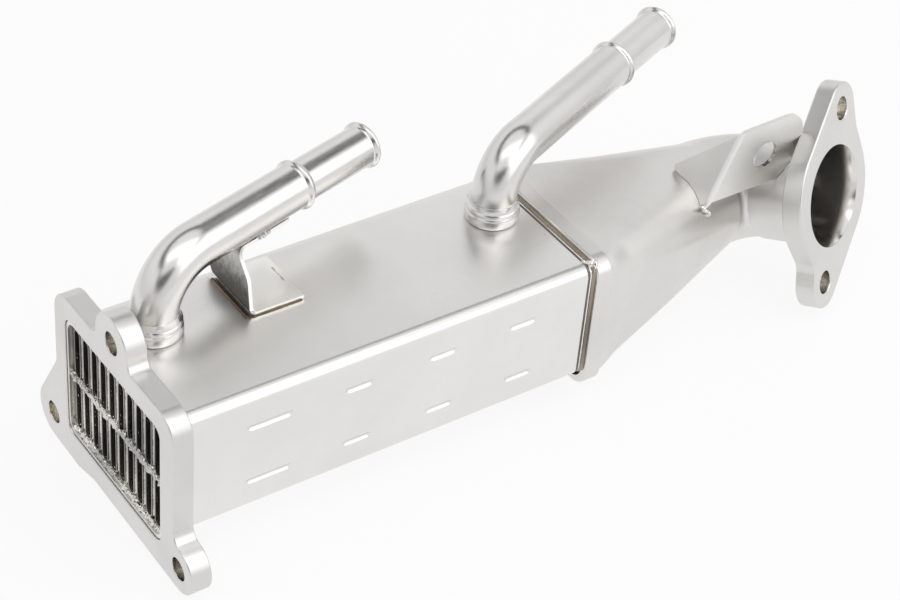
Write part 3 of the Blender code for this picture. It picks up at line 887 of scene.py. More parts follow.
class InletFlange(Assembly):
    """The thick plate the cooler bolts on by: three ears round the gas opening."""

    @dataclass(frozen=True)
    class Size:
        """Sizes of the flange; the ears are placed from the corners of the gas opening."""

        thickness: float = 9.0 * MM
        hole: float = 4.7 * MM
        edge: float = 0.7 * MM
        ear_top: Point = (-0.5 * MM, 42.6 * MM)
        ear_near: Point = (13.6 * MM, 1.3 * MM)
        ear_far: Point = (12.4 * MM, 1.2 * MM)
        waist: float = 16.2 * MM
        waist_hollow: float = 4.0 * MM

    size = Size()

    def off_corner(self, right: int, upper: int, out_y: float, out_z: float) -> Point:
        """Return a point that far out from a corner of the gas opening; right and upper are 1 or -1."""
        return right * (SHELL.width / 2 + out_y), upper * (SHELL.height / 2 + out_z)

    def build(self) -> None:
        """Make the flange."""
        size = self.size
        near = self.off_corner(-1, -1, *size.ear_near)
        far = self.off_corner(1, -1, *size.ear_far)
        top = size.ear_top
        outline = belt(
            (
                (*self.off_corner(1, 1, -1.6 * MM, 0.0), 9.8 * MM),
                (top[0] + size.waist, top[1] - 0.4 * MM, -size.waist_hollow),
                (*top, 12.2 * MM),
                (top[0] - size.waist, top[1] - 0.4 * MM, -size.waist_hollow),
                (*self.off_corner(-1, 1, -0.2 * MM, -0.2 * MM), 10.0 * MM),
                (*self.off_corner(-1, -1, 14.8 * MM, -14.1 * MM), -5.0 * MM),
                (*near, 10.39 * MM),
                (*self.off_corner(1, -1, -22.2 * MM, 16.6 * MM), -6.0 * MM),
                (*self.off_corner(1, -1, -7.2 * MM, 3.4 * MM), 10.39 * MM),
                (*far, 11.9 * MM),
                (*self.off_corner(1, -1, 16.3 * MM, -31.4 * MM), -8.0 * MM),
            ),
            160,
        )
        opening = SHELL.outline(CLEARANCE)
        holes = [circle(y, z, size.hole) for y, z in (top, near, far)]
        made = plate("inlet_plate", [outline, opening, *holes], size.thickness, across(0.0), size.edge)
        self.hand_in(made, "satin_plate", ["inlet_flange"])
        made.data.materials.append(self.finishes.material("drilled_hole"))
        for face in made.data.polygons:
            for y, z in (top, near, far):
                away = math.hypot(face.center.y - y, face.center.z - z)
                if away < size.hole + size.edge and abs(face.normal.x) < 0.5:
                    face.material_index = 1


@dataclass(frozen=True)
class ShellSection:
    """The rectangular section that the shell, the core and the duct share."""

    width: float = 74.4 * MM
    height: float = 56.8 * MM
    corner: float = 5.0 * MM
    wall: float = 1.2 * MM
    start: float = 0.9 * MM
    end: float = 193.6 * MM

    def outline(self, growth: float, segments: int = 96) -> list[Point]:
        """Return the section's outline, grown outwards.

        Args:
            growth: how far it is grown; negative shrinks it.
            segments: the number of points in a full turn.

        Returns:
            The outline's points.
        """
        return rounded_box(self.width + 2 * growth, self.height + 2 * growth, self.corner + growth, segments)


SHELL = ShellSection()


class BodyShell(Assembly):
    """The thin rectangular box round the core, with grooves pressed into both sides."""

    @dataclass(frozen=True)
    class Size:
        """Sizes of the pressed grooves and the weld at the inlet, and how finely the shell is drawn."""

        groove_radius: float = 1.3 * MM
        groove_depth: float = 0.9 * MM
        groove_heights: tuple[float, ...] = (12.8 * MM, -14.2 * MM)
        groove_spans: tuple[Point, ...] = (
            (37.0 * MM, 57.0 * MM),
            (80.1 * MM, 92.9 * MM),
            (118.3 * MM, 131.3 * MM),
            (156.5 * MM, 169.5 * MM),
        )
        step: float = 0.8 * MM
        inlet_weld: Bead = Bead(0.75 * MM, 0.35, 1.3 * MM, 0.8)

    size = Size()

    def sink(self, x: float, z: float) -> float:
        """Return how far the side is pressed in at a place.

        Args:
            x: the place along the shell.
            z: the place up the side.

        Returns:
            The depth of the groove there, or 0.
        """
        size = self.size
        depth = 0.0
        for height in size.groove_heights:
            for start, end in size.groove_spans:
                nearest = min(end - size.groove_radius, max(start + size.groove_radius, x))
                away = math.hypot(x - nearest, z - height) / size.groove_radius
                if away < 1.0:
                    depth = max(depth, size.groove_depth * math.cos(away * math.pi / 2))
        return depth

    def side_outline(self) -> list[Point]:
        """Return the shell's outline with close points up its sides.

        Returns:
            The outline's points, anticlockwise.
        """
        half_y, half_z = SHELL.width / 2, SHELL.height / 2 - SHELL.corner
        steps = round(2 * half_z / (self.size.step / 2))
        rise = [mix(-half_z, half_z, step / steps) for step in range(1, steps)]
        sides = [(half_y, z) for z in rise] + [(-half_y, z) for z in rise]
        outline = SHELL.outline(0.0, 64) + sides
        return sorted(outline, key=lambda point: math.atan2(point[1], point[0]))

    def rings(self) -> list[Ring]:
        """Return the rings of the grooved outer skin, and of the plain inner one back to its start.

        Returns:
            The rings, in order round the wall.
        """
        outline = self.side_outline()
        steps = round((SHELL.end - SHELL.start) / self.size.step)
        rings = []
        for step in range(steps + 1):
            x = mix(SHELL.start, SHELL.end, step / steps)
            ring = []
            for y, z in outline:
                flat = abs(abs(y) - SHELL.width / 2) < 0.01 * MM
                press = self.sink(x, z) if flat else 0.0
                ring.append(Vector((x, y - math.copysign(press, y), z)))
            rings.append(ring)
        shrink_y = (SHELL.width - 2 * SHELL.wall) / SHELL.width
        shrink_z = (SHELL.height - 2 * SHELL.wall) / SHELL.height
        for x in (SHELL.end, SHELL.start):
            rings.append([Vector((x, y * shrink_y, z * shrink_z)) for y, z in outline])
        return rings

    def build(self) -> None:
        """Make the shell and the weld that joins it to the inlet flange."""
        made = skin("shell_box", self.rings(), hoop=True)
        self.hand_in(made, "satin_sheet", ["body_shell"])
        path = placed(SHELL.outline(0.2 * MM), across(InletFlange.size.thickness + 0.3 * MM))
        metal = self.finishes.material("bright_braze")
        beads = WeldBead("flange_bead")
        bead = beads.run("shell_weld_inlet", path, True, self.size.inlet_weld, 3.0, metal)
        self.hand_in(bead, "bright_braze")


class TubeCore(Assembly):
    """The flat gas tubes and the braze round them; the plates they pass through are dressed on their own."""

    @dataclass(frozen=True)
    class Size:
        """Sizes of the core."""

        pitch: float = 7.0 * MM
        thickness: float = 4.8 * MM
        height: float = 23.6 * MM
        wall: float = 0.45 * MM
        row_gap: float = 2.2 * MM
        columns: int = 10
        start: float = 2.4 * MM
        end: float = 197.6 * MM
        header: float = 3.6 * MM
        braze: Bead = Bead(0.55 * MM, 0.25, 2.2 * MM, 1.1)
        lump_spacing: float = 1.2 * MM

    size = Size()

    def tube_outline(self, inset: float) -> list[Point]:
        """Return the rounded slot shape of a flat tube.

        Args:
            inset: how far it is drawn in.

        Returns:
            The outline's points.
        """
        reach = (self.size.height - self.size.thickness) / 2
        end = self.size.thickness / 2 - inset
        return belt(((0.0, reach, end), (0.0, -reach, end)), 48)

    def places(self) -> list[Point]:
        """Return the centre of each flat tube, row by row.

        Returns:
            The centres across the shell.
        """
        size = self.size
        rise = (size.height + size.row_gap) / 2
        columns = [((size.columns - 1) / 2 - column) * size.pitch for column in range(size.columns)]
        return [(y, z) for z in (rise, -rise) for y in columns]

    def build(self) -> None:
        """Make the tubes and the braze."""
        size = self.size
        walls = [self.tube_outline(0.0), self.tube_outline(size.wall)]
        pattern = plate("tube_pattern", walls, size.end - size.start, across(size.start))
        shade(pattern)
        centres = [Vector((0.0, y, z)) for y, z in self.places()]
        stand = mesh_object("flat_tubes", centres, [], [])
        tree = Array("tube_array")
        step = stand.modifiers.new("tube_array", "NODES")
        step.node_group = tree.tree
        step[tree.sockets["Piece"]] = pattern
        step[tree.sockets["Metal"]] = self.finishes.material("core_sheet")
        settle(stand)
        bpy.data.objects.remove(pattern, do_unlink=True)
        self.hand_in(stand, "core_sheet", [f"flat_tube_{number + 1:02d}" for number in range(len(centres))])
        self.braze()

    def braze(self) -> None:
        """Lay braze round each tube at the front header, and lumps of it between and beside the rows."""
        size = self.size
        beads = WeldBead("tube_braze")
        metal = self.finishes.material("bright_braze")
        front = size.header - 0.2 * MM
        for number, (y, z) in enumerate(self.places()):
            path = placed(self.tube_outline(-0.15 * MM), Matrix.Translation((0.0, y, z)) @ across(front))
            bead = beads.run(f"tube_braze_{number + 1:02d}", path, True, size.braze, float(number), metal)
            self.hand_in(bead, "bright_braze")
        lumps = Lumps("braze_lumps")
        half = SHELL.width / 2 - SHELL.wall - 1.5 * MM
        low = -SHELL.height / 2 + SHELL.wall + 1.0 * MM
        rows = (("middle", 0.0, 1.9 * MM, 5), ("bottom", low, 1.8 * MM, 9), ("top", -low, 1.0 * MM, 12))
        for name, z, width, seed in rows:
            path = [Vector((front - 0.5 * MM, side * half, z)) for side in (-1.0, 1.0)]
            sizes = {"Size": width, "Spacing": size.lump_spacing}
            lump = lumps.lay(f"braze_{name}", path, False, **sizes, Seed=seed, Metal=metal)
            self.hand_in(lump, "bright_braze")


@dataclass(frozen=True)
class PipeRun:
    """One hose pipe: where it stands on the shell, how high and which way it runs."""

    name: str
    foot: Point
    stand: float
    bend: float
    heading: float
    shoulder: float
    reach: float

    @property
    def direction(self) -> Vector:
        """The way the level run points."""
        return Vector((math.cos(self.heading), math.sin(self.heading), 0.0))

    @property
    def corner(self) -> Vector:
        """Where the upright axis and the level axis would cross."""
        return Vector((*self.foot, SHELL.height / 2 + self.stand))


FRONT_PIPE = PipeRun(
    name="front",
    foot=(25.6 * MM, 13.3 * MM),
    stand=29.6 * MM,
    bend=22.0 * MM,
    heading=math.radians(15.3),
    shoulder=76.0 * MM,
    reach=116.5 * MM,
)
REAR_PIPE = PipeRun(
    name="rear",
    foot=(179.6 * MM, 11.2 * MM),
    stand=26.5 * MM,
    bend=19.0 * MM,
    heading=math.radians(22.4),
    shoulder=92.5 * MM,
    reach=131.5 * MM,
)


class CoolantPipe(Assembly):
    """A bent hose pipe with a shoulder bead, a narrower spigot and an end bead, in its brazed collar."""

    @dataclass(frozen=True)
    class Size:
        """Sizes that both pipes share; the collar's bands are (rise, height) in millimetres."""

        radius: float = 9.4 * MM
        spigot: float = 8.7 * MM
        wall: float = 1.2 * MM
        bead_rise: float = 1.3 * MM
        bead_half: float = 2.0 * MM
        end_bead_half: float = 1.8 * MM
        lip: float = 2.2 * MM
        wide_band: tuple[Point, ...] = (
            (0.5, 0.0),
            (1.1, 0.25),
            (1.45, 0.7),
            (1.6, 1.3),
            (1.65, 2.4),
            (1.6, 4.0),
            (1.4, 4.7),
            (1.05, 5.15),
        )
        narrow_band: tuple[Point, ...] = (
            (1.0, 5.3),
            (1.15, 5.6),
            (1.3, 6.0),
            (1.3, 6.5),
            (1.15, 6.95),
            (0.8, 7.2),
            (0.75, 7.4),
        )
        braze_fillet: tuple[Point, ...] = ((0.62, 7.7), (0.45, 8.2), (0.3, 8.8), (0.18, 9.5), (0.1, 10.0))

    size = Size()

    def __init__(self, finishes: Finishes, run: PipeRun) -> None:
        """Keep the run that this pipe follows."""
        super().__init__(finishes)
        self.run = run

    def radius_at(self, distance: float) -> float:
        """Return the pipe's outer radius at a distance along its level run.

        Args:
            distance: the distance past the corner of its axis.

        Returns:
            The radius.
        """
        size, run = self.size, self.run
        step = ease((distance - run.shoulder + 0.4 * size.bead_half) / size.bead_half)
        radius = mix(size.radius, size.spigot, step)
        for middle, half in ((run.shoulder, size.bead_half), (run.reach - size.lip, size.end_bead_half)):
            away = abs(distance - middle) / half
            if away < 1.0:
                radius += size.bead_rise * math.cos(away * math.pi / 2) ** 0.9 * (1.0 - 0.2 * away)
        chamfer = max(0.0, distance - run.reach + 0.5 * MM)
        return radius - chamfer

    def build(self) -> None:
        """Make the pipe and its collar."""
        size, run = self.size, self.run
        foot = Vector((*run.foot, SHELL.height / 2 - SHELL.wall))
        bent = filleted_path([foot, run.corner, run.corner + run.direction * run.reach], [run.bend], 36)[:-1]
        start = run.bend
        steps = round((run.reach - start) / (0.35 * MM))
        distances = [mix(start, run.reach, step / steps) for step in range(1, steps + 1)]
        path = bent + [run.corner + run.direction * distance for distance in distances]
        radii = [size.radius] * len(bent) + [self.radius_at(distance) for distance in distances]
        outer = tube_rings(path, radii)
        outsides = [size.spigot if distance > run.shoulder else size.radius for distance in distances]
        bore = [size.radius - size.wall] * len(bent) + [radius - size.wall for radius in outsides]
        inner = tube_rings(path, bore)
        made = skin(f"hose_pipe_{run.name}", outer + inner[::-1], hoop=True)
        self.hand_in(made, f"polished_{run.name}", [f"coolant_pipe_{run.name}"], 60.0)
        self.collar()

    def collar(self) -> None:
        """Make the ferrule round the foot: a wide band, a narrow band and a fillet of braze up the pipe."""
        size, run = self.size, self.run
        bands = (*size.wide_band, *size.narrow_band, *size.braze_fillet)
        outer = size.radius + CLEARANCE
        profile = [(outer + rise * MM, height * MM) for rise, height in bands]
        inside = size.radius - 0.2 * MM
        profile += [(inside, bands[-1][1] * MM), (inside, 0.0)]
        seat = Matrix.Translation((*run.foot, SHELL.height / 2))
        made = turned(f"collar_{run.name}", profile[::-1], seat)
        self.hand_in(made, "polished_collar", [f"coolant_collar_{run.name}"], 50.0)


@dataclass(frozen=True)
class OutletAxes:
    """Where the outlet sits and the way it faces."""

    centre: tuple[float, float, float] = (334.7 * MM, -29.1 * MM, 9.4 * MM)
    turn: float = math.radians(-67.1)
    rise: float = math.radians(16.3)
    roll: float = math.radians(23.9)
    flange: float = 9.0 * MM
    neck: float = 21.5 * MM

    @property
    def facing(self) -> Vector:
        """The way the outlet's face looks."""
        level = math.cos(self.rise)
        return Vector((level * math.cos(self.turn), level * math.sin(self.turn), math.sin(self.rise)))

    @property
    def mouth(self) -> Vector:
        """The middle of the joint between the duct and the neck."""
        return Vector(self.centre) - self.facing * (self.flange + self.neck)

    def placing(self, depth: float) -> Matrix:
        """Return the placing of the outlet's shapes: Z faces out, Y runs through the bolt holes.

        Args:
            depth: how far behind the face it sits.

        Returns:
            The placing.
        """
        upright = axes_at(Vector(self.centre) - self.facing * depth, self.facing, UP)
        return upright @ Matrix.Rotation(-self.roll, 4, "Z")


OUTLET = OutletAxes()


class Duct(Assembly):
    """The sheet duct that narrows from the shell's section to a round mouth and turns to the outlet."""

    @dataclass(frozen=True)
    class Size:
        """Sizes of the duct."""

        collar_start: float = 197.6 * MM
        collar_length: float = 8.0 * MM
        width: float = 77.4 * MM
        height: float = 65.4 * MM
        corner: float = 8.6 * MM
        drop: float = 3.2 * MM
        near_corner: float = 12.0 * MM
        far_corner: float = 3.5 * MM
        lead: float = 0.14
        wall: float = 2.0 * MM
        elbow_entry: float = 24.6 * MM
        elbow_mouth: float = 22.0 * MM
        elbow_radius: float = 26.0 * MM
        full_round: float = 0.995
        shoulder: float = 1.0 * MM
        taper_steps: int = 56
        elbow_steps: int = 44
        mouth_weld: Bead = Bead(0.5 * MM, 0.2, 1.2 * MM, 0.6)

    size = Size()

    def section(
        self, centre: Vector, heading: Vector, half: Point, corners: Point, segments: int = 24
    ) -> Ring:
        """Return a rounded box of points across a heading; corners near the half sizes make it a circle.

        Args:
            centre: the middle of the section.
            heading: the way the duct runs there.
            half: half its width and half its height.
            corners: the corner radius on the far side and on the near side.
            segments: the number of points round each corner.

        Returns:
            The section's points.
        """
        turn = FORWARD.rotation_difference(heading)
        ring = []
        for quarter, (side, rise) in enumerate(((1, 1), (-1, 1), (-1, -1), (1, -1))):
            corner = corners[0] if side > 0 else corners[1]
            for step in range(segments):
                angle = math.tau * (quarter + (step + 0.5) / segments) / 4
                y = side * (half[0] - corner) + corner * math.cos(angle)
                z = rise * (half[1] - corner) + corner * math.sin(angle)
                ring.append(centre + turn @ Vector((0.0, y, z)))
        return ring

    def bend(self, entry: Vector) -> Vector:
        """Return where the straight run meets the outlet's axis, so that the arc ends at the mouth.

        Args:
            entry: the start of the straight run.

        Returns:
            The corner.
        """
        back = 0.6 * self.size.elbow_radius
        for _ in range(12):
            corner = OUTLET.mouth - OUTLET.facing * back
            back = self.size.elbow_radius * math.tan((corner - entry).angle(OUTLET.facing) / 2)
        return OUTLET.mouth - OUTLET.facing * back

    def rings(self, inset: float) -> list[Ring]:
        """Return the rings of the outer skin, or of the bore when inset by the wall.

        Args:
            inset: how far the rings are drawn in.

        Returns:
            The rings from the seam to the mouth.
        """
        size = self.size
        half_width = size.width / 2 - inset
        half_height = size.height / 2 - inset
        rings = []
        turns = [step / 6 * math.pi / 2 for step in range(7)]
        front = [
            (size.shoulder * (1 - math.sin(turn)), size.shoulder * (1 - math.cos(turn)))
            for turn in reversed(turns)
        ]
        back = [(size.collar_length - reach, shy) for reach, shy in reversed(front)]
        for reach, shy in (*front, *back):
            centre = Vector((size.collar_start + reach, 0.0, -size.drop))
            half = (half_width - shy, half_height - shy)
            rings.append(self.section(centre, FORWARD, half, (size.corner - inset,) * 2))
        entry = Vector((size.collar_start + size.collar_length, 0.0, -size.drop))
        course = [entry, self.bend(entry), OUTLET.mouth]
        arc = filleted_path(course, [size.elbow_radius], size.elbow_steps)[1:-1]
        straight = (arc[0] - entry).normalized()
        full = size.full_round * (size.elbow_entry - inset)
        for step in range(1, size.taper_steps + 1):
            share = step / size.taper_steps
            half = (
                mix(half_width - size.shoulder, size.elbow_entry - inset, share),
                mix(half_height - size.shoulder, size.elbow_entry - inset, share),
            )
            begun = ease(share / size.lead)
            corners = tuple(
                mix(size.corner - inset, mix(corner - inset, full, share), begun)
                for corner in (size.far_corner, size.near_corner)
            )
            heading = FORWARD.lerp(straight, min(1.0, 2.0 * share)).normalized()
            rings.append(self.section(entry.lerp(arc[0], share), heading, half, corners))
        sweep = straight.rotation_difference(OUTLET.facing)
        for step in range(1, size.elbow_steps + 1):
            share = step / size.elbow_steps
            heading = Quaternion().slerp(sweep, share) @ straight
            radius = mix(size.elbow_entry, size.elbow_mouth, share) - inset
            rings.append(self.section(arc[step], heading, (radius, radius), (size.full_round * radius,) * 2))
        return rings

    def build(self) -> None:
        """Make the duct and the weld at its mouth."""
        made = skin("turned_duct", self.rings(0.0) + self.rings(self.size.wall)[::-1], hoop=True)
        self.hand_in(made, "grainy_duct", ["diffuser"], 50.0)
        mouth = circle(0.0, 0.0, self.size.elbow_mouth - 0.45 * MM, 120)
        path = placed(mouth, OUTLET.placing(OUTLET.flange + OUTLET.neck))
        metal = self.finishes.material("grainy_duct")
        bead = WeldBead("mouth_bead").run("mouth_weld", path, True, self.size.mouth_weld, 8.0, metal)
        self.hand_in(bead, "grainy_duct")


class OutletCasting(Assembly):
    """The cast outlet: a two-bolt flange and its neck in one piece, with a coned lip in the bore."""

    @dataclass(frozen=True)
    class Size:
        """Sizes of the casting; the neck is sunk into the flange, and the bore is cut past both ends."""

        hole: float = 5.0 * MM
        hole_spacing: float = 76.0 * MM
        ear: float = 11.6 * MM
        edge: float = 0.8 * MM
        neck_radius: float = 22.8 * MM
        neck_chamfer: float = 0.6 * MM
        root: float = 3.0 * MM
        sunk: float = 2.0 * MM
        bore: float = 20.3 * MM
        lip: float = 22.5 * MM
        lip_depth: float = 5.6 * MM
        lip_rim: float = 0.2 * MM
        over: float = 1.0 * MM

    size = Size()

    def outline(self) -> list[Point]:
        """Return the outline of the flange.

        Returns:
            The outline's points.
        """
        size = self.size
        half = size.hole_spacing / 2
        return belt(
            (
                (0.0, half, size.ear),
                (-1.5 * MM, 0.5 * MM, 30.5 * MM),
                (-19.5 * MM, -34.5 * MM, -7.5 * MM),
                (0.0, -half, size.ear),
                (1.0 * MM, 0.5 * MM, 30.6 * MM),
                (20.5 * MM, 33.0 * MM, -5.0 * MM),
            ),
            160,
        )

    def build(self) -> None:
        """Join the neck to the flange and bore them through."""
        size = self.size
        holes = [circle(0.0, side * size.hole_spacing / 2, size.hole) for side in (1, -1)]
        seat = OUTLET.placing(OUTLET.flange)
        made = plate("outlet_casting", [self.outline(), *holes], OUTLET.flange, seat, size.edge)
        face = OUTLET.neck + OUTLET.flange
        placing = OUTLET.placing(face)
        turns = [step / 8 * math.pi / 2 for step in range(9)]
        fillet = [
            (
                size.neck_radius + size.root * (1 - math.cos(turn)),
                OUTLET.neck - size.root * (1 - math.sin(turn)),
            )
            for turn in turns
        ]
        neck = [
            (0.0, CLEARANCE),
            (size.neck_radius - size.neck_chamfer, CLEARANCE),
            (size.neck_radius, CLEARANCE + size.neck_chamfer),
            *fillet,
            (size.neck_radius + size.root, face - size.sunk),
            (0.0, face - size.sunk),
        ]
        bore = [
            (0.0, -size.over),
            (size.bore, -size.over),
            (size.bore, face - size.lip_depth),
            (size.lip, face - size.lip_rim),
            (size.lip + size.lip_rim, face + size.over),
            (0.0, face + size.over),
        ]
        combine(made, [self.spun("neck", neck, placing)], "UNION")
        combine(made, [self.spun("bore", bore, placing)])
        self.hand_in(made, "fine_cast", ["outlet_flange"], 24.0)
        self.machine(made)

    def machine(self, made: bpy.types.Object) -> None:
        """Give the bore, its cone and the bolt holes their machined finish.

        Args:
            made: the finished casting.
        """
        size = self.size
        made.data.materials.append(self.finishes.material("machined_bore"))
        made.data.materials.append(self.finishes.material("drilled_hole"))
        local = OUTLET.placing(0.0).inverted()
        for face in made.data.polygons:
            centre = local @ face.center
            facing = (local.to_3x3() @ face.normal).normalized()
            axis_distance = math.hypot(centre.x, centre.y)
            hole_distance = math.hypot(centre.x, abs(centre.y) - size.hole_spacing / 2)
            if axis_distance < size.lip + 0.1 * MM and facing.z < 0.9:
                face.material_index = 1
            elif hole_distance < size.hole + size.edge and abs(facing.z) < 0.5:
                face.material_index = 2

    def spun(self, name: str, profile: Sequence[Point], placing: Matrix) -> bpy.types.Object:
        """Spin a solid whose profile starts and ends on the axis.

        Args:
            name: the object's name.
            profile: its (radius, height) points.
            placing: where it goes.

        Returns:
            The solid.
        """
        rings = []
        for radius, height in profile[1:-1]:
            level = placing @ Matrix.Translation((0.0, 0.0, height))
            rings.append(placed(circle(0.0, 0.0, radius, 128), level))
        return skin(name, rings)


class Brackets(Assembly):
    """The strap under the front hose pipe and the folded tab on the outlet."""

    @dataclass(frozen=True)
    class Size:
        """Sizes of the two sheets; the tab's places run along X and up from the outlet's centre."""

        strap: float = 1.6 * MM
        strap_setback: float = 35.4 * MM
        strap_foot: float = 24.0 * MM
        strap_seat: float = 29.0 * MM
        strap_lean: float = 3.5 * MM
        strap_bends: tuple[float, ...] = (2.6 * MM, 6.0 * MM, 6.0 * MM)
        strap_near: tuple[float, ...] = (-11.0 * MM, -4.9 * MM, 0.62, -4.9 * MM)
        strap_far: tuple[float, ...] = (17.0 * MM, 23.5 * MM, 0.28, 13.0 * MM)
        tab: float = 1.8 * MM
        tab_setback: float = 12.6 * MM
        tab_fold: float = 3.0 * MM
        tab_fold_low: Point = (-63.8 * MM, 5.0 * MM)
        tab_fold_high: Point = (-49.1 * MM, 41.0 * MM)
        tab_leg_low: Point = (-59.7 * MM, 9.6 * MM)
        tab_corner_low: Point = (-9.0 * MM, 9.6 * MM)
        tab_corner_high: Point = (-16.2 * MM, 41.9 * MM)
        tab_corner: float = 9.0 * MM
        tab_wing_tip: Point = (-62.7 * MM, 13.4 * MM)
        tab_wing_span: float = 22.9 * MM
        tab_wing_rise: float = 2.4 * MM
        tab_hole: float = 6.4 * MM
        tab_hole_place: Point = (-33.8 * MM, 25.2 * MM)
        tab_neck_weld: tuple[Point, ...] = ((-21.8 * MM, 10.8 * MM), (-13.0 * MM, 19.9 * MM))
        tab_flange_weld: tuple[Point, ...] = ((-12.0 * MM, 20.5 * MM), (-10.8 * MM, 21.6 * MM))
        tab_duct_weld: tuple[Point, ...] = ((-64.6 * MM, 9.0 * MM), (-60.3 * MM, 3.3 * MM))
        soft: float = 0.35 * MM
        weld_ripple: float = 0.3
        weld_pitch: float = 1.3 * MM
        weld_wander: float = 0.9
        dab_spacing: float = 0.9 * MM

    size = Size()

    def strap_edge(self, foot_y: float, knee_y: float, knee: float, seat_off: float) -> list[Vector]:
        """Return one long edge of the strap, from its foot's end to its seat's end.

        Args:
            foot_y: the foot's place across the shell, from the pipe's foot.
            knee_y: the same for the wall's knee.
            knee: the knee's share of the wall's height.
            seat_off: the seat's place beside the pipe's axis.

        Returns:
            The edge's corners.
        """
        size, pipe = self.size, FRONT_PIPE
        foot_z = SHELL.height / 2 + CLEARANCE
        seat_z = pipe.corner.z - CoolantPipe.size.radius - CLEARANCE
        foot_x = pipe.foot[0] + size.strap_setback
        seat_x = foot_x + size.strap_lean
        axis_y = pipe.foot[1] + (seat_x - pipe.foot[0]) * math.tan(pipe.heading)
        seat = Vector((seat_x, axis_y + seat_off, seat_z))
        return [
            Vector((foot_x + size.strap_foot, pipe.foot[1] + foot_y, foot_z)),
            Vector((foot_x, pipe.foot[1] + foot_y, foot_z)),
            Vector((foot_x + knee * size.strap_lean, pipe.foot[1] + knee_y, mix(foot_z, seat_z, knee))),
            seat,
            seat + pipe.direction * size.strap_seat,
        ]

    def build(self) -> None:
        """Make both brackets and the tinted beads that hold them."""
        self.strap()
        self.tab()

    def strap(self) -> None:
        """Bend the strap between its two long edges."""
        size = self.size
        near = self.strap_edge(*size.strap_near)
        far = self.strap_edge(*size.strap_far)
        edges = zip(filleted_path(near, size.strap_bends, 14), filleted_path(far, size.strap_bends, 14))
        points = [point for pair in edges for point in pair]
        faces = [(i, i + 1, i + 3, i + 2) for i in range(0, len(points) - 2, 2)]
        made = mesh_object("pipe_strap", points, [], faces)
        step = made.modifiers.new("Thickness", "SOLIDIFY")
        step.thickness = size.strap
        step.offset = 1.0
        step.use_even_offset = True
        settle(made)
        weld(made.data)
        soften(made, size.soft, 50.0)
        self.hand_in(made, "satin_strap", ["front_pipe_bracket"], 45.0)
        # The faces that look towards -X get a darker copy of the strap's steel: painted dark reflection on
        # the strap's wall.
        made.data.materials.append(self.finishes.material("strap_wall"))
        for face in made.data.polygons:
            if face.normal.x < -0.5:
                face.material_index = 1
        self.strap_welds(near, far)

    def strap_welds(self, near: Sequence[Vector], far: Sequence[Vector]) -> None:
        """Lay the burnt beads along the strap's wall and foot, and the dabs on its seat.

        Args:
            near: the corners of the strap's near edge.
            far: the corners of its far edge.
        """
        size = self.size
        top = SHELL.height / 2
        foot_x = near[1].x - size.strap
        wall = [Vector((foot_x + 0.6 * MM, y, top)) for y in (near[1].y + 0.5 * MM, far[1].y - 0.5 * MM)]
        foot = [Vector((x, near[1].y - 0.2 * MM, top)) for x in (near[1].x + 1.0 * MM, near[0].x - 1.0 * MM)]
        self.bead("strap_weld_wall", wall, 0.75 * MM, "burnt_weld", 20)
        self.bead("strap_weld_foot", foot, 0.45 * MM, "burnt_weld", 21)
        seat = [near[3] + FRONT_PIPE.direction * along for along in (12.5 * MM, 16.5 * MM)]
        self.dabs("strap_weld_seat", seat, 1.5 * MM, 6)

    def bead(self, name: str, path: Sequence[Vector], radius: float, finish: str, seed: int) -> None:
        """Lay a bead of weld that holds a bracket.

        Args:
            name: the bead's name.
            path: its points.
            radius: its radius.
            finish: the name of its finish.
            seed: what sets its ripples.
        """
        size = self.size
        metal = self.finishes.material(finish)
        bead = Bead(radius, size.weld_ripple, size.weld_pitch, size.weld_wander)
        made = WeldBead(f"{name}_bead").run(name, path, False, bead, float(seed), metal)
        self.hand_in(made, finish)

    def dabs(self, name: str, path: Sequence[Vector], width: float, seed: int) -> None:
        """Put dabs of weld along a short path.

        Args:
            name: the dabs' name.
            path: its points.
            width: the size of one dab.
            seed: what sets their shapes.
        """
        metal = self.finishes.material("bright_braze")
        sizes = {"Size": width, "Spacing": self.size.dab_spacing}
        made = Lumps(f"{name}_lumps").lay(name, path, False, **sizes, Seed=seed, Metal=metal)
        self.hand_in(made, "bright_braze")

    def from_outlet(self, along: float, up: float) -> Vector:
        """Return a point of the tab's plane, that far along X and up from the centre of the outlet's face."""
        return Vector(OUTLET.centre) + Vector((along, self.size.tab_setback, up))

    def folded_sheet(self) -> bpy.types.Object:
        """Fold the tab's sheet: an upright leg with a round upper corner, and a wing back to the duct.

        Returns:
            The sheet, undrilled and untrimmed.
        """
        size = self.size
        fold_low = self.from_outlet(*size.tab_fold_low)
        fold_high = self.from_outlet(*size.tab_fold_high)
        end = [fold_high, self.from_outlet(*size.tab_corner_high), self.from_outlet(*size.tab_corner_low)]
        rounded = filleted_path(end, [size.tab_corner], 24)
        leg = [fold_low, self.from_outlet(*size.tab_leg_low), *reversed(rounded)]
        tip = self.from_outlet(*size.tab_wing_tip) + Vector((0.0, size.tab_wing_span, 0.0))
        wing = [tip, tip + Vector((0.0, 0.0, size.tab_wing_rise))]
        points = leg + wing
        back = (0, len(leg) - 1, *range(len(points) - 1, len(leg) - 1, -1))
        made = mesh_object("outlet_tab", points, [], [tuple(range(len(leg))), back])
        fold = made.modifiers.new("Fold", "BEVEL")
        fold.width = size.tab_fold
        fold.segments = 6
        fold.limit_method = "ANGLE"
        thick = made.modifiers.new("Thickness", "SOLIDIFY")
        thick.thickness = size.tab
        thick.offset = -1.0
        thick.use_even_offset = True
        settle(made)
        weld(made.data)
        return made

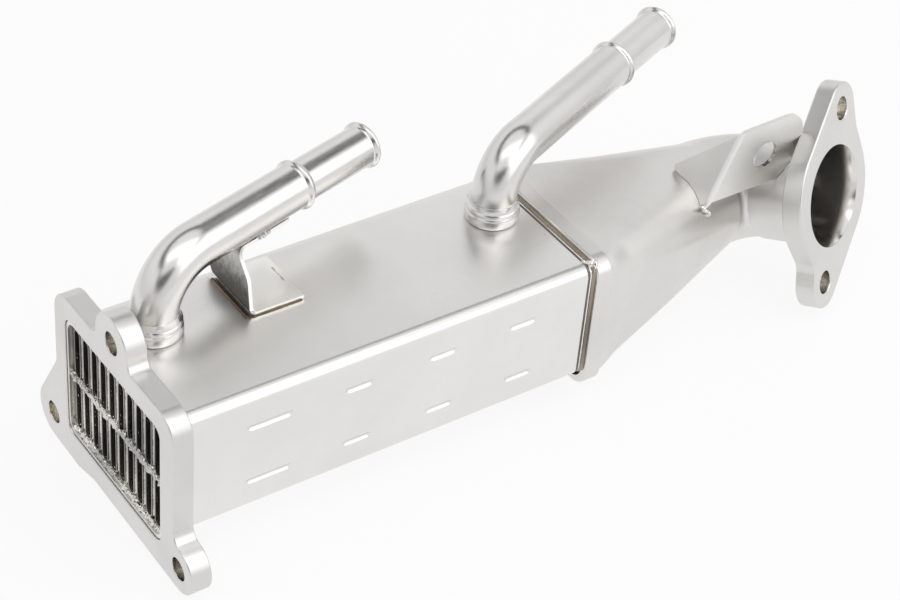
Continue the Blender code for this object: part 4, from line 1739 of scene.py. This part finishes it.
    def tab(self) -> None:
        """Drill the folded sheet, trim it to the duct and the casting, and weld it on."""
        size = self.size
        made = self.folded_sheet()
        hole = self.from_outlet(*size.tab_hole_place)
        reach = Vector((0.0, 6.0 * MM, 0.0))
        drill = skin("drill", tube_rings([hole - reach, hole + reach], [size.tab_hole] * 2, 96))
        casting = OutletCasting(self.finishes)
        margin = OUTLET.placing(OUTLET.flange + CLEARANCE)
        slab = plate("slab", [casting.outline()], OUTLET.flange + 2 * CLEARANCE, margin)
        neck_radius = casting.size.neck_radius + CLEARANCE
        neck = tube_rings([OUTLET.mouth, Vector(OUTLET.centre)], [neck_radius] * 2, 96)
        duct_room = skin("duct_room", Duct(self.finishes).rings(-CLEARANCE / 2))
        combine(made, [drill, duct_room, skin("neck_room", neck), slab])
        self.hand_in(made, "satin_tab", ["rear_bracket"], 35.0)
        made.data.materials.append(self.finishes.material("drilled_hole"))
        for face in made.data.polygons:
            away = math.hypot(face.center.x - hole.x, face.center.z - hole.z)
            if away < size.tab_hole + 0.2 * MM and abs(face.normal.y) < 0.5:
                face.material_index = 1
        neck_side = [self.from_outlet(*place) for place in size.tab_neck_weld]
        self.bead("tab_weld_neck", neck_side, 0.6 * MM, "fine_cast", 22)
        corner = [self.from_outlet(*place) for place in size.tab_flange_weld]
        self.dabs("tab_weld_flange", corner, 1.3 * MM, 7)
        duct_side = [self.from_outlet(*place) for place in size.tab_duct_weld]
        self.dabs("tab_weld_duct", duct_side, 1.1 * MM, 8)


class SeamWelds(Assembly):
    """The two beads on either side of the rear header's rim, and the lump where they start."""

    @dataclass(frozen=True)
    class Size:
        """Where the beads run along the shell, how far outside its outline, and their sizes."""

        front_place: float = 194.45 * MM
        front_growth: float = -1.0 * MM
        front_bead: Bead = Bead(0.85 * MM, 0.08, 1.5 * MM, 0.25)
        rear_place: float = 196.95 * MM
        rear_growth: float = -0.85 * MM
        rear_bead: Bead = Bead(1.15 * MM, 0.08, 1.5 * MM, 0.25)
        lump: float = 1.7 * MM
        lump_spacing: float = 0.8 * MM
        lump_inset: float = 5.0 * MM
        lump_path: tuple[Point, ...] = ((194.6 * MM, 0.0), (196.6 * MM, 1.5 * MM), (198.0 * MM, 3.0 * MM))

    size = Size()

    def build(self) -> None:
        """Lay the beads round the shell's end, and the lump across them at a near corner."""
        size = self.size
        beads = WeldBead("seam_bead")
        rows = (
            ("front", size.front_place, size.front_growth, size.front_bead, "dark_weld"),
            ("rear", size.rear_place, size.rear_growth, size.rear_bead, "brown_weld"),
        )
        for number, (side, place, growth, bead, finish) in enumerate(rows):
            path = placed(SHELL.outline(growth), across(place))
            metal = self.finishes.material(finish)
            made = beads.run(f"seam_bead_{side}", path, True, bead, 30.0 + number, metal)
            self.hand_in(made, finish, [f"seam_weld_{side}"])
        edge = size.lump_inset - SHELL.width / 2
        top = SHELL.height / 2 - 0.4 * MM
        path = [Vector((x, edge - shift, top)) for x, shift in size.lump_path]
        metal = self.finishes.material("bright_braze")
        sizes = {"Size": size.lump, "Spacing": size.lump_spacing}
        lump = Lumps("seam_lump").lay("seam_weld_start", path, False, **sizes, Seed=4, Metal=metal)
        self.hand_in(lump, "bright_braze")


class CorePlates(Assembly):
    """The headers and baffles, whose CAD nodes are kept and dressed."""

    def __init__(self, finishes: Finishes, nodes: dict[str, bpy.types.Object]) -> None:
        """Keep the frame's nodes by name."""
        super().__init__(finishes)
        self.nodes = nodes

    def build(self) -> None:
        """Dress each plate; the rear header's rim shows in the seam."""
        for name, finish in (
            ("front_header", "core_sheet"),
            ("rear_header", "seam_rim"),
            ("front_baffle", "core_sheet"),
            ("rear_baffle", "core_sheet"),
        ):
            plate_node = self.nodes[name]
            for slot in plate_node.material_slots:
                slot.material = self.finishes.material(finish)
            log.info("%s: %s", name, finish)


# Studio


@dataclass(frozen=True)
class PhotoCamera:
    """The camera, in millimetres, placed where the photograph was taken from."""

    place: tuple[float, float, float] = (-307.252, -601.110, 612.227)
    right: tuple[float, float, float] = (0.82536627, -0.55994805, 0.07230974)
    down: tuple[float, float, float] = (-0.3065033, -0.55193475, -0.77551516)
    ahead: tuple[float, float, float] = (0.47415846, 0.61792088, -0.62717425)
    lens: float = 95.89
    sensor: float = 36.0

    def build(self) -> bpy.types.Object:
        """Make the scene's camera.

        Returns:
            The camera object.
        """
        data = bpy.data.cameras.new("camera")
        data.lens = self.lens
        data.sensor_width = self.sensor
        data.clip_start = 0.01
        data.clip_end = 20.0
        camera = bpy.data.objects.new("camera", data)
        bpy.context.scene.collection.objects.link(camera)
        axes = Matrix((self.right, -Vector(self.down), -Vector(self.ahead))).transposed()
        camera.matrix_world = Matrix.Translation(Vector(self.place) * MM) @ axes.to_4x4()
        bpy.context.scene.camera = camera
        return camera


@dataclass(frozen=True)
class SoftBox:
    """One soft lamp: its place, its two sizes and its power in watts."""

    name: str
    place: tuple[float, float, float]
    size: Point
    power: float


@dataclass(frozen=True)
class Studio:
    """A pale room: a white floor, two soft boxes, and a dark band and a dark patch high on the walls."""

    aim: tuple[float, float, float] = (0.15, 0.0, 0.0)
    floor_drop: float = 0.4 * MM
    floor_size: float = 6.0
    floor_white: Colour = (0.84, 0.84, 0.84, 1.0)
    floor_glow: float = 0.88
    wall: tuple[Point, ...] = (
        (0.0, 0.78),
        (0.5, 0.80),
        (0.62, 0.86),
        (0.80, 1.0),
        (0.850, 0.96),
        (0.870, 0.03),
        (0.915, 0.03),
        (0.935, 1.0),
        (1.0, 1.0),
    )
    dark_side: tuple[float, float, float] = (-0.474, -0.618, 0.627)
    dark_span: Point = (0.86, 0.95)
    dark_level: float = 0.12
    boxes: tuple[SoftBox, ...] = (
        SoftBox("overhead_box", (-0.1, -0.5, 1.1), (1.4, 1.0), 4.0),
        SoftBox("near_box", (0.72, -0.80, 0.75), (1.4, 1.4), 4.0),
    )

    def build(self) -> None:
        """Make the floor, the room's light and the soft boxes."""
        self.floor()
        self.room()
        self.soft_boxes()

    def floor(self) -> None:
        """Lay the floor under the lowest point of the object."""
        low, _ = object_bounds()
        half = self.floor_size / 2
        corners = [Vector((x * half, y * half, 0.0)) for x, y in ((-1, -1), (1, -1), (1, 1), (-1, 1))]
        floor = mesh_object("floor", corners, [], [(0, 1, 2, 3)])
        floor.location = (self.aim[0], self.aim[1], low.z - self.floor_drop)
        material = bpy.data.materials.new("floor_paper")
        material.use_nodes = True
        nodes = NodeMaker(material.node_tree)
        paper = nodes.add("ShaderNodeBsdfDiffuse", {"Color": self.floor_white})
        glow = nodes.add("ShaderNodeEmission", {"Color": (1.0, 1.0, 1.0, 1.0), "Strength": 1.0})
        path = nodes.add("ShaderNodeLightPath")
        direct = nodes.math("ADD", path.outputs["Is Camera Ray"], path.outputs["Is Glossy Ray"])
        looked_at = nodes.math("ADD", direct, path.outputs["Is Transmission Ray"])
        share = nodes.math("MULTIPLY", looked_at, self.floor_glow)
        mixed = nodes.add("ShaderNodeMixShader", {0: share, 1: paper.outputs[0], 2: glow.outputs[0]})
        nodes.add("ShaderNodeOutputMaterial", {"Surface": mixed.outputs[0]})
        floor.data.materials.append(material)
        floor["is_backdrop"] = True

    def room(self) -> None:
        """Light the object from all round; every kind of ray meets the same walls."""
        world = bpy.data.worlds.new("studio")
        bpy.context.scene.world = world
        world.use_nodes = True
        nodes = NodeMaker(world.node_tree)
        ray = nodes.add("ShaderNodeTexCoord").outputs["Generated"]
        height = nodes.add("ShaderNodeSeparateXYZ", {0: ray}).outputs["Z"]
        share = nodes.math("MULTIPLY_ADD", height, 0.5, 0.5)
        ramp = nodes.add("ShaderNodeValToRGB", {0: share})
        band = ramp.color_ramp
        while len(band.elements) < len(self.wall):
            band.elements.new(0.5)
        for element, (where, level) in zip(band.elements, self.wall):
            element.position = where
            element.color = (level, level, level, 1.0)
        sides = {0: ray, 1: self.dark_side}
        toward = nodes.add("ShaderNodeVectorMath", sides, operation="DOT_PRODUCT").outputs["Value"]
        dim = nodes.remap(toward, self.dark_span, (1.0, self.dark_level))
        shaded = nodes.blend(1.0, ramp.outputs[0], dim, "MULTIPLY")
        sky = nodes.add("ShaderNodeBackground", {"Color": shaded, "Strength": 1.0})
        nodes.add("ShaderNodeOutputWorld", {"Surface": sky.outputs[0]})

    def soft_boxes(self) -> None:
        """Hang the soft boxes."""
        for box in self.boxes:
            data = bpy.data.lights.new(box.name, "AREA")
            data.shape = "RECTANGLE"
            data.size, data.size_y = box.size
            data.energy = box.power
            lamp = bpy.data.objects.new(box.name, data)
            lamp.location = box.place
            aim = Vector(self.aim) - lamp.location
            lamp.rotation_euler = aim.to_track_quat("-Z", "Y").to_euler()
            bpy.context.scene.collection.objects.link(lamp)


STRAP_TINTS = (
    Tint((0.0605, 0.0165, 0.0284), (0.0022, 0.018, 0.002), strength=0.5),
    Tint((0.073, 0.0023, 0.0284), (0.015, 0.0015, 0.002), strength=0.4),
)

# Painted dark reflection: a near-black patch over the strap's wall, which faces -X.
WALL_PAINTED_REFLECTION = (
    Tint(
        (0.0605, 0.0165, 0.0275),
        (0.02, 0.08, 0.020),
        (0.07, 0.066, 0.06, 1.0),
        strength=0.95,
        ragged=0.08,
    ),
)

FOOT_SCRATCH = Tint(
    (0.0828, 0.0190, 0.0303),
    (0.0005, 0.0060, 0.0015),
    (0.38, 0.32, 0.25, 1.0),
    strength=0.75,
    ragged=0.6,
)

STEELS = (
    Steel("satin_plate", "satin_steel", (0.72, 0.71, 0.695, 1.0), 0.34, Grain.BLASTED, bump=0.3),
    Steel(
        "satin_sheet",
        "satin_steel",
        (0.82, 0.81, 0.79, 1.0),
        0.29,
        Grain.ROLLED,
        uneven=0.012,
        bump=0.006,
        cloud=0.03,
        tints=STRAP_TINTS,
    ),
    Steel(
        "satin_strap",
        "satin_steel",
        (0.88, 0.87, 0.85, 1.0),
        0.25,
        Grain.ROLLED,
        uneven=0.01,
        bump=0.006,
        cloud=0.02,
        tints=(FOOT_SCRATCH,),
    ),
    # The strap's wall in a darker copy of the strap's steel: painted dark reflection.
    Steel(
        "strap_wall",
        "satin_steel",
        (0.50, 0.49, 0.47, 1.0),
        0.26,
        Grain.ROLLED,
        bump=0.015,
        tints=WALL_PAINTED_REFLECTION,
    ),
    Steel("satin_tab", "satin_steel", (0.85, 0.84, 0.82, 1.0), 0.34, Grain.BLASTED, bump=0.1),
    Steel("grainy_duct", "satin_steel", (0.75, 0.735, 0.715, 1.0), 0.34, Grain.BLASTED, bump=0.45),
    Steel("fine_cast", "satin_steel", (0.73, 0.72, 0.70, 1.0), 0.32, Grain.BLASTED, bump=0.35),
    Steel(
        "machined_bore",
        "satin_steel",
        (0.76, 0.74, 0.71, 1.0),
        0.19,
        Grain.BLASTED,
        uneven=0.01,
        bump=0.0,
    ),
    Steel("drilled_hole", "satin_steel", (0.72, 0.68, 0.62, 1.0), 0.14, Grain.BRAZED, cloud=0.6, bump=2.5),
    Steel(
        "polished_front",
        "bright_steel",
        (0.74, 0.73, 0.715, 1.0),
        0.22,
        Grain.DRAWN,
        FRONT_PIPE.heading,
        bump=0.35,
    ),
    Steel(
        "polished_rear",
        "bright_steel",
        (0.74, 0.73, 0.715, 1.0),
        0.22,
        Grain.DRAWN,
        REAR_PIPE.heading,
        bump=0.35,
    ),
    Steel("polished_collar", "bright_steel", (0.76, 0.75, 0.74, 1.0), 0.20, Grain.BRAZED),
    Steel(
        "core_sheet",
        "core_steel",
        (0.48, 0.46, 0.43, 1.0),
        0.36,
        Grain.BRAZED,
        uneven=0.02,
        bump=0.0,
        cloud=0.4,
    ),
    Steel("seam_rim", "core_steel", (0.86, 0.85, 0.84, 1.0), 0.2, Grain.BRAZED),
    Steel("bright_braze", "weld_tint", (0.80, 0.78, 0.74, 1.0), 0.17, Grain.BRAZED, cloud=0.45, bump=0.8),
    Steel("brown_weld", "weld_tint", (0.36, 0.31, 0.25, 1.0), 0.30, Grain.BRAZED, cloud=0.4, bump=0.5),
    Steel("burnt_weld", "weld_tint", (0.27, 0.20, 0.145, 1.0), 0.34, Grain.BRAZED, cloud=0.6, bump=0.8),
    Steel("dark_weld", "weld_tint", (0.20, 0.18, 0.16, 1.0), 0.38, Grain.BRAZED, cloud=0.3, bump=0.5),
)


def main() -> None:
    """Dress the cooler and set up its studio."""
    logging.basicConfig(level=logging.INFO, format="%(message)s")
    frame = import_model()
    finishes = Finishes(STEELS)
    assemblies = (
        InletFlange(finishes),
        BodyShell(finishes),
        TubeCore(finishes),
        CorePlates(finishes, frame["nodes"]),
        CoolantPipe(finishes, FRONT_PIPE),
        CoolantPipe(finishes, REAR_PIPE),
        Duct(finishes),
        OutletCasting(finishes),
        Brackets(finishes),
        SeamWelds(finishes),
    )
    for assembly in assemblies:
        assembly.build()
    PhotoCamera().build()
    Studio().build()
    bpy.context.scene.view_settings.view_transform = "Standard"


if __name__ == "__main__":
    main()
